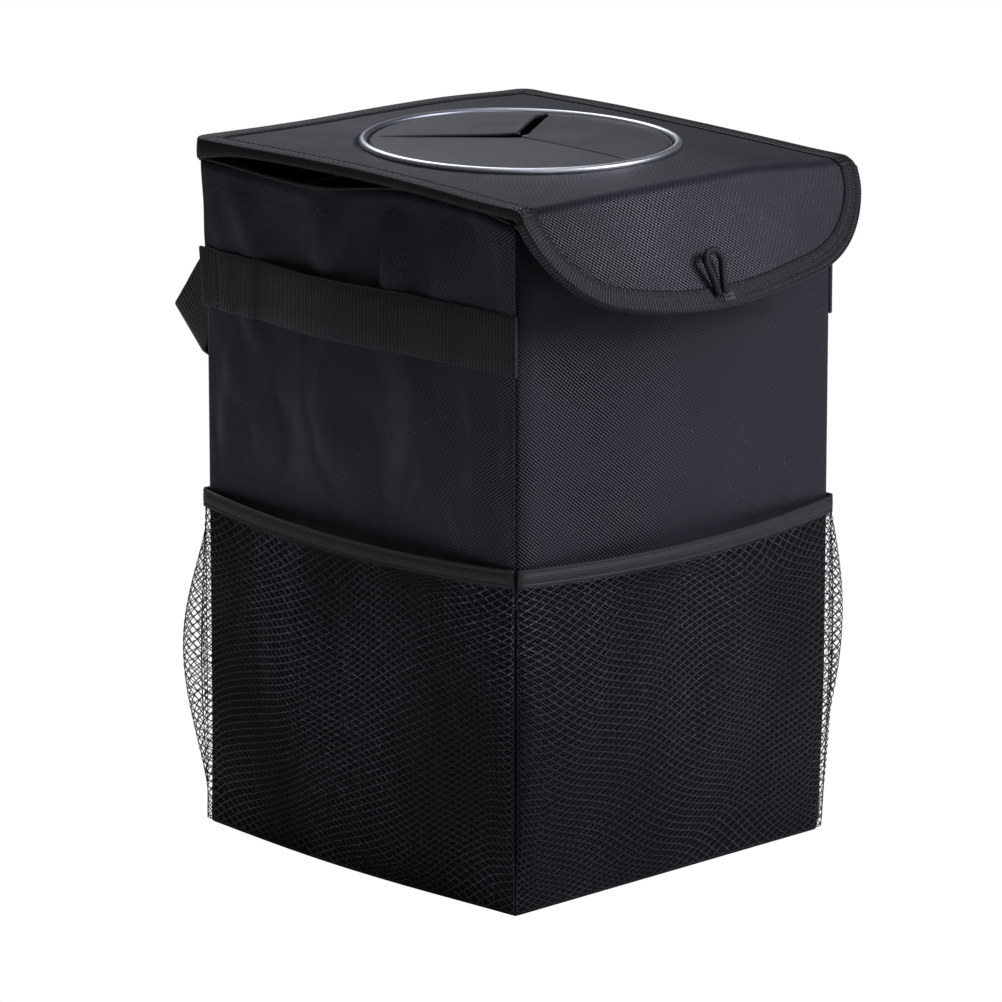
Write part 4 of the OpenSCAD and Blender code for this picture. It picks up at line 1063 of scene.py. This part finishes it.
# The weave fades toward the right and over the lid; the cover is painted darker toward its left edge, a
# painted shade.
cover_ramps = [("X", -0.005, 0.055, 1.0, 0.06, "MULTIPLY"), ("Y", -0.003, 0.009, 0.15, 1.0, "MULTIPLY")]
cover_finish = oxford_finish("oxford_lid", (0.0006, 0.0006, 0.0012), (0.060, 0.058, 0.086), 1.0, 0.46, 0.08,
    ramps=cover_ramps, slant=-1.0, shaded=[("X", -0.094, -0.030, 0.5)])
cover.data.materials.append(cover_finish)
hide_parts("lid_cover", "flap_cover")
blend_from, blend_to = [(over_crease(0.0, run, 0) * mm).tolist() for run in (0.0, roll_l + 2)]
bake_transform(cover)

# Edge tape of the lid and flap
# One folded grosgrain tape runs round the whole edge. On the lid it hangs as a low skirt with a
# narrow lap on top; at the crease it rolls over and then lies flat on the face of the flap.
lap, skirt_drop, flap_drop, edge_round, tape_rise = 9.0, 4.4, 4.8, 1.0, 0.8
flap_wide = 94.5
# The outline's points, from the back right to the middle of the flap: [across, run, and the way out of it]
lid_side = np.concatenate([np.linspace(-20, 83.6, 52)[::-1], np.linspace(-90, -22, 40)[::-1]])
path = [[lid_half, roll_start - y, 1.0, 0.0] for y in lid_side]
path += [[lid_half, run, 1.0, 0.0] for run in np.linspace(-1.0, roll_l - 0.4, 9)]
shoulder_from, shoulder_to = [math.asin((x - shoulder_x) / shoulder_r) for x in (flap_wide, tangent_x)]
for turn_at in np.linspace(shoulder_from, shoulder_to, 26):
    x, down = shoulder_x + shoulder_r * math.sin(turn_at), shoulder_c + shoulder_r * math.cos(turn_at)
    path.append([x, roll_l + max(down - flap_from, 0.3), math.sin(turn_at), math.cos(turn_at)])
for x in np.linspace(tangent_x, 0, 26)[1:]:
    path.append([x, roll_l + bottom_c + math.sqrt(bottom_r ** 2 - x * x) - flap_from, x / bottom_r,
        math.sqrt(1 - (x / bottom_r) ** 2)])
path = np.array(path)
mirrored = [-1, 1, -1, 1]
# The round back corner, walked from the side to the back
corner = np.radians(np.linspace(0, 90, 10))[-2:0:-1]
corner_x, corner_y = lid_half - lid_round, lid_back - lid_round
corner_right = np.column_stack([corner_x + lid_round * np.sin(corner),
    roll_start - (corner_y + lid_round * np.cos(corner)), np.sin(corner), -np.cos(corner)])
back_line = np.linspace(-corner_x, corner_x, 60)
back = np.column_stack([back_line, np.full(60, roll_start - lid_back), np.zeros(60), np.full(60, -1.0)])
loop = np.vstack([back, corner_right[::-1], path, path[::-1][1:] * mirrored, corner_right * mirrored])
loop = np.vstack([loop, loop[:1]])
smooth(loop[:, 2:], 2)
loop[:, 2:] = unit(loop[:, 2:])
on_flap_share = eased(loop[:, 1], -14, roll_l + 2)
drop = skirt_drop + (flap_drop - skirt_drop) * on_flap_share
# Along the back the skirt is shorter, and toward the back left corner it hangs longer
behind = np.clip((-loop[:, 3] - 0.3) / 0.6, 0, 1)
from_corner = np.hypot(loop[:, 0] + lid_half, roll_start - loop[:, 1] - lid_back)
drop = drop + behind * (2.0 * eased(-loop[:, 0], 55, 78) - 1.0) + 4.2 * np.exp(-(from_corner / 17) ** 2)


def edge_place(inward, rise):
    """Points of the edge tape: inward from the outline, and rise above the face of the cloth."""
    x = loop[:, 0] - inward * loop[:, 2]
    run = loop[:, 1] - inward * loop[:, 3]
    return resting(over_crease(x, run, rise))


# The section's [inward, rise], from the inner edge of the lap over the edge to the hidden turn below
high = tape_rise + 0.1 * on_flap_share
low = high - drop
bulge = 0.35 * (1 - on_flap_share)
tape_section = [[lap, -0.3], [lap + 0.02, 0.25], [lap - 0.25, high - 0.2], [lap - 0.7, high],
    [lap * 0.80, high - 0.14], [lap * 0.74, high + 0.02], [lap * 0.5, high + 0.05], [lap * 0.30, high + 0.02],
    [lap * 0.24, high - 0.12], [lap * 0.18, high + 0.02], [edge_round * 0.9, high],
    [edge_round * 0.35, high - 0.2], [0.05, high - 0.65], [-0.05 - bulge * 0.5, high - drop * 0.3],
    [-bulge, high - drop * 0.65], [-bulge * 0.6, low + 0.5], [0.35 - bulge * 0.5, low - 0.1],
    [0.9, low + 0.1], [1.25, low + 0.7], [1.5, -1.3 - 1.3 * on_flap_share], [1.8, -0.3]]
rows = np.array([edge_place(inward, rise) for inward, rise in [*tape_section, tape_section[0]]])
edge_tape = grid_piece("edge_tape", rows.transpose(1, 0, 2), wrap=True)
close_up(edge_tape)
# The ribs' painted highlights stand out where the tape is turned down and on the flap, and fade to the
# right and over the lid
tape_highlight_ramps = [("Z", 0.2895, 0.2840, 0.18, 1.0), ("X", -0.02, 0.05, 1.0, 0.35),
    ("Y", -0.104, -0.095, 1.0, 0.18)]
tape_colours = [(0.008, 0.008, 0.010), (0.007, 0.007, 0.009), (0.105, 0.106, 0.126)]
tape_finish = ribbed_finish("edge_grosgrain", tape_colours, 0.48, 0.0014, 0.0022, 0.26, tape_highlight_ramps,
    Specular_IOR_Level=0.3)
edge_tape.data.materials.append(tape_finish)
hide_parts("lid_binding", "flap_binding")
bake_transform(edge_tape)
dark_thread = finish("dark_thread", (0.002, 0.002, 0.003), 0.6)[0]
edge_stitch = 2.9
edge_seams = [["outer", 0.24, 0.22, thread_finish], ["inner", 0.86, 0.34, dark_thread]]
for seam, share, half_width, thread in edge_seams:
    line = edge_place(lap * share, tape_rise)
    up_line = edge_place(lap * share, tape_rise + 1.0) - line
    at_spots, at_dirs = spaced(line, edge_stitch)
    run = run_along(line)
    up_at = at_marks(np.arange(0.5 * edge_stitch, run[-1], edge_stitch), run, up_line)
    made = stitches("edge_seam_" + seam, at_spots, at_dirs, up_at, [1.0, half_width, 0.2], thread, None)
    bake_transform(made)

# The loop's ends are held by five pairs of light stitches
tack_finish = finish("tack_thread", (0.24, 0.24, 0.27), 0.4)[0]
tack_x = np.repeat(loop_place[0] + np.array([0.2, 1.4, 2.6, 3.8, 5.0]), 2)
tack_down = loop_place[1] + np.tile([3.4, 5.2], 5)
tack_out = 4.2
stitches("loop_tack", on_flap(tack_x, tack_down, tack_out), np.tile(flap_down + [0.25, 0, 0], (10, 1)),
    np.tile(flap_out, (10, 1)), [0.9, 0.22, 0.3], tack_finish, "flap")

# Ring and rubber membrane
# A chromed plastic ring sits round the hole. The rubber inside it is one shallow dome, cut by three
# slits from a shared middle into petals that give way to a hand and close again behind it.
bead_c, bead_r, bead_z, ring_steps = 64.7, 1.6, 290.75, 144
turns = np.radians(np.linspace(-40, 220, 17))
profile = [[bead_c + bead_r * math.cos(t), bead_z + bead_r * math.sin(t)] for t in turns]
profile += [[62.75, 289.0], [63.3, 288.9], [63.9, 289.6]]
profile.append(profile[0])
bpy.ops.mesh.primitive_circle_add(vertices=len(profile) - 1, radius=0.001)
ring = bpy.context.object
ring.name = "chrome_ring"
for vertex, (r, z) in zip(ring.data.vertices, profile):
    vertex.co = (r * mm, 0, z * mm)
bpy.ops.object.mode_set(mode="EDIT")
bpy.ops.mesh.select_all(action="SELECT")
bpy.ops.mesh.spin(steps=ring_steps, angle=2 * math.pi, center=(0, 0, 0), axis=(0, 0, 1))
bpy.ops.object.mode_set(mode="OBJECT")
close_up(ring, 0.00001)
move_points(ring, resting(points_of(ring) / mm))
bpy.ops.object.shade_smooth_by_angle(angle=math.radians(50))
chrome_finish, tree, shader = finish("satin_chrome", (0.78, 0.79, 0.84), 0.36, Metallic=1.0)
rough = ranged(tree, speckle(tree, own_place(tree), 40.0, 2.0), 0.3, 0.7, 0.34, 0.39)
tree.links.new(rough, shader.inputs["Roughness"])
# Its far side is painted darker, a painted shade that dims its reflection there
far_side = node(tree, "SeparateXYZ", own_place(tree)).outputs["Y"]
far_side_painted_shade = ranged(tree, far_side, 0.030, 0.060, 0.0, 1.0)
colour_by(tree, shader, far_side_painted_shade, (0.78, 0.79, 0.84), (0.30, 0.31, 0.36))
ring.data.materials.append(chrome_finish)
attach(ring, "lid")
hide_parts("ring_trim")

rubber_z, rubber_t, dome_r, clamp_r, slit_l = 290.0, 1.2, 60.5, 62.5, 59.2
rim_rise, dome_rise = 1.25, 0.75
slit_angles = [36.0, 131.0, 273.0]
# Half the opening of each slit in millimetres, at five places given as shares of its length
slit_places = [0, 0.06, 0.45, 0.93, 1]
slit_shapes = [[1.8, 2.5, 2.8, 2.7, 0.3], [1.5, 1.3, 0.55, 0.22, 0.1], [0.35, 0.32, 0.34, 0.62, 0.12]]
# The petals' tips stand up a little in the middle
tip_lifts, tip_reach = [1.9, 0.1, 0.5], 13.0


def dome(r):
    """The height of the rubber at a distance from the middle."""
    clamped = 1 - eased(r, dome_r + 0.7, clamp_r)
    return rubber_z + rim_rise * clamped + dome_rise * (1 - np.clip(r / dome_r, 0, 1) ** 2)


def slit_half(arm, r):
    """Half the opening of a slit at a distance from the middle."""
    return np.interp(r / slit_l, slit_places, slit_shapes[arm])


rubber_finish, tree, shader = finish("soft_rubber", (0.050, 0.050, 0.057), 0.42, Specular_IOR_Level=0.4)
rough = ranged(tree, speckle(tree, own_place(tree), 60.0, 3.0), 0.3, 0.7, 0.36, 0.48)
tree.links.new(rough, shader.inputs["Roughness"])
bump(tree, shader, speckle(tree, own_place(tree), 1600.0, 2.0), 0.04, 0.4)
petals = []
radii = np.concatenate([[0.6], np.linspace(3, slit_l, 24), [dome_r, 61.2, 61.6, 62.0, clamp_r]])
# How far the two lips of each slit stand up: those that follow it and those that come before it
lifts_after, lifts_before = [0.5, -0.2, 0.3], [0.5, 0.7, 0.1]
after_reach, before_reach, turn_most = 2.6, 4.0, 30
for k in range(3):
    first, last = k, (k + 1) % 3
    start, stop = slit_angles[first], slit_angles[last] + (360 if last == 0 else 0)
    share = np.concatenate([[0, 0.01, 0.025, 0.05], np.linspace(0.09, 0.91, 34), [0.95, 0.975, 0.99, 1]])
    grid = []
    for r in radii:
        cut = r <= slit_l + 0.001
        edge_a, edge_b = [min(math.degrees(slit_half(arm, r) / max(r, 2.6)), turn_most) * cut
            for arm in (first, last)]
        a = np.radians(start + edge_a + (stop - start - edge_a - edge_b) * share)
        free = math.sin(math.pi * min(r / slit_l, 1)) ** 0.7
        lips = (lifts_after[first] * np.exp(-r * (a - a[0]) / after_reach)
            + lifts_before[last] * np.exp(-r * (a[-1] - a) / before_reach))
        z = dome(r) + free * lips + tip_lifts[k] * math.exp(-r / tip_reach)
        grid.append(np.column_stack([r * np.cos(a), r * np.sin(a), z]))
    petals.append(grid_piece(f"petal_{k}", resting(np.array(grid)[:, ::-1])))
bpy.ops.object.select_all(action="DESELECT")
for petal in petals:
    petal.select_set(True)
bpy.context.view_layer.objects.active = petals[-1]
bpy.ops.object.join()
membrane = bpy.context.object
membrane.name = "rubber_membrane"
close_up(membrane, 0.000005, turn_out=False)
thicken(membrane, rubber_t)
membrane.data.materials.append(rubber_finish)
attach(membrane, "lid")
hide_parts("slit_membrane")

# Hinge tape
# The lid is sewn to the bag along the back by a strip of tape, which bends when it opens.
tape_rows = []
hinge_in, hinge_z = 13, 282.4
hinge_section = [[0.15, -22.0], [0.15, -15.0], [0.2, -8.0], [0.25, -4.0], [0.4, -1.5], [0.55, 0.0],
    [0.55, 1.2], [0.55, 2.4], [0.5, 3.6], [0.4, 4.6]]
for out, up in hinge_section:
    line = around(2, np.linspace(-half_w + hinge_in, half_w - hinge_in, 60), out + 0.35, hinge_z + up)
    share = min(max(up / 3.6, 0), 1)
    tape_rows.append(leaning(line) * (1 - share) + resting(line) * share)
hinge = grid_piece("hinge_tape_strip", np.array(tape_rows))
thicken(hinge, 0.6)
hinge.data.materials.append(hem_tape_finish)
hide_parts("hinge_tape")
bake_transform(hinge)

# Boards and linings of the lid and flap
# They lie under the cover and rest as it does. The lid's board and lining are thinned toward their
# edge, where the tape pinches them, and the flap's follow its curved outline.
plate_front, plate_in, plate_start, edge_pinch, lining_t = -92.8, 2.0, 3.6, 3.4, 0.8
turn = np.linspace(0, 2 * math.pi, 145)


def lid_plate(name, low, high, shares, pinch_high):
    """A plate with a round hole; pinch_high says how far its top rises along with its pinched edge."""
    wide, back = lid_half - plate_in, lid_back - plate_in
    deep, middle_y = (back - plate_front) / 2, (back + plate_front) / 2
    squared = ((np.abs(np.cos(turn)) / wide) ** 16 + (np.abs(np.sin(turn)) / deep) ** 16) ** (-1 / 16)
    outline = np.column_stack([squared * np.cos(turn), middle_y + squared * np.sin(turn)])
    hole = (hole_r - 0.4) * np.column_stack([np.cos(turn), np.sin(turn)])
    under, over = [], []
    for share in shares:
        flat_place = hole + share * (outline - hole)
        rise = edge_pinch * (1 - eased((1 - share) * np.linalg.norm(outline - hole, axis=1), 2, 20))
        under.append(np.column_stack([flat_place, low + rise]))
        over.append(np.column_stack([flat_place, high + pinch_high * rise]))
    return grid_piece(name, resting(np.array([*under, *over[::-1], under[0]])), wrap=True)


def flap_plate(name, inset, low, high):
    """A plate of the flap between two depths along its normal."""
    x = (lid_half - inset) * np.sin(np.linspace(-1, 1, 49) * math.pi / 2)
    under, over = [], []
    for share in np.linspace(0, 1, 14):
        down = plate_start + share * np.maximum(flap_depth(x, inset) - plate_start, 0.02)
        under.append(on_flap(x, down, low))
        over.append(on_flap(x, down, high))
    return grid_piece(name, resting(np.array([*under, *over[::-1], under[0]])), wrap=True, caps=True)


board_finish, tree, shader = finish("grey_board", (0.11, 0.105, 0.10), 0.85)
pulp = speckle(tree, own_place(tree), 420.0, 4.0, 0.7)
colour_by(tree, shader, pulp, (0.085, 0.08, 0.075), (0.14, 0.135, 0.128))
lining_finish = oxford_finish("thin_lining", (0.012, 0.012, 0.014), (0.030, 0.030, 0.035), 0.3, 0.5, 0.05)
lid_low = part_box("lid_lining")[0].z / mm
plate_shares = [0, 0.2, 0.4, 0.6, 0.72, 0.84, 0.94, 1]
plates = [[lid_plate("lid_stiffener", lid_low + lining_t, lid_top - cover_t, plate_shares[:-1], 0),
    board_finish, "stiffener_board", "lid", "lid_board"],
    [lid_plate("lid_underside", lid_low, lid_low + lining_t, plate_shares, 1),
    lining_finish, "lining_cloth", "lid", "lid_lining"],
    [flap_plate("flap_stiffener", 2.2, -1.4, 0.15), board_finish, "stiffener_board", "flap", "flap_board"],
    [flap_plate("flap_underside", 1.6, -2.2, -1.4), lining_finish, "lining_cloth", "flap", "flap_lining"]]
for made, material, slot_name, body, kept in plates:
    close_up(made)
    bpy.ops.object.shade_smooth_by_angle(angle=math.radians(40))
    made.data.materials.append(material)
    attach(made, body)
    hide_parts(kept)
    if slot_name == "lining_cloth":
        wide, long = made.dimensions.x, max(made.dimensions.y, made.dimensions.z * 1.1)
softened("ring_clamp", "ring_retainer", 0.25, moulded_finish, "lid", resting)

# Boards of the bag and the hook and loop patches
# These keep their measured shapes; each has the look of its own stuff.
patch_finish, tree, shader = finish("hook_pile", (0.010, 0.010, 0.011), 0.9, Sheen_Weight=0.4)
pile = node(tree, "TexVoronoi", own_place(tree), None, 900.0).outputs[0]
bump(tree, shader, pile, 0.6)
colour_by(tree, shader, pile, (0.024, 0.024, 0.027), (0.006, 0.006, 0.007))
looks = {"base_board": board_finish, "front_board": board_finish, "back_board": board_finish,
    "wall_patch": patch_finish, "flap_patch": patch_finish}
for name, material in looks.items():
    for place in bpy.data.objects[name].material_slots:
        place.material = material

# Light
# A white room: one large soft light to the front right, a small weak one to the front left, one
# behind that the ring shows as its highlight, and a weak one from above.
lamps = [[(0.9, -1.5, 1.3), (0, 0, 0.16), 1.0, 24], [(-0.9, -2.2, 1.0), (0, 0, 0.18), 0.5, 3.1],
    [(0.3, 0.9, 1.3), (0, 0, 0.25), 1.1, 10], [(-0.2, -0.5, 1.9), (0, 0, 0.28), 1.2, 4]]
for where, aim, size, power in lamps:
    bpy.ops.object.light_add(type="AREA", location=where)
    lamp = bpy.context.object
    lamp.data.size = size
    lamp.data.energy = power
    lamp.data.color = (0.90, 0.935, 1.0)
    lamp.rotation_mode = "QUATERNION"
    lamp.rotation_quaternion = (Vector(where) - Vector(aim)).to_track_quat("Z", "Y")
world = bpy.data.worlds.new("white_room")
bpy.context.scene.world = world
world.use_nodes = True
background = world.node_tree.nodes["Background"]
background.inputs["Color"].default_value = (1, 1, 1, 1)
seen = node(world.node_tree, "LightPath")
# The room is white to the camera and lights the bin only a little
strength = math_node(world.node_tree, "MULTIPLY_ADD", seen.outputs["Is Camera Ray"], 0.93, 0.07)
world.node_tree.links.new(strength, background.inputs["Strength"])
bpy.ops.mesh.primitive_plane_add(size=8, location=(0, 0, -0.0002))
floor = bpy.context.object
floor.name = "floor"
floor_finish, tree, shader = finish("white_floor", (0.9, 0.9, 0.9), 0.6)
glow = node(tree, "Emission", (1, 1, 1, 1), 1.0)
seen = node(tree, "LightPath")
white = node(tree, "MixShader", seen.outputs["Is Camera Ray"], shader.outputs[0], glow.outputs[0])
tree.links.new(white.outputs[0], tree.nodes["Material Output"].inputs["Surface"])
floor.data.materials.append(floor_finish)
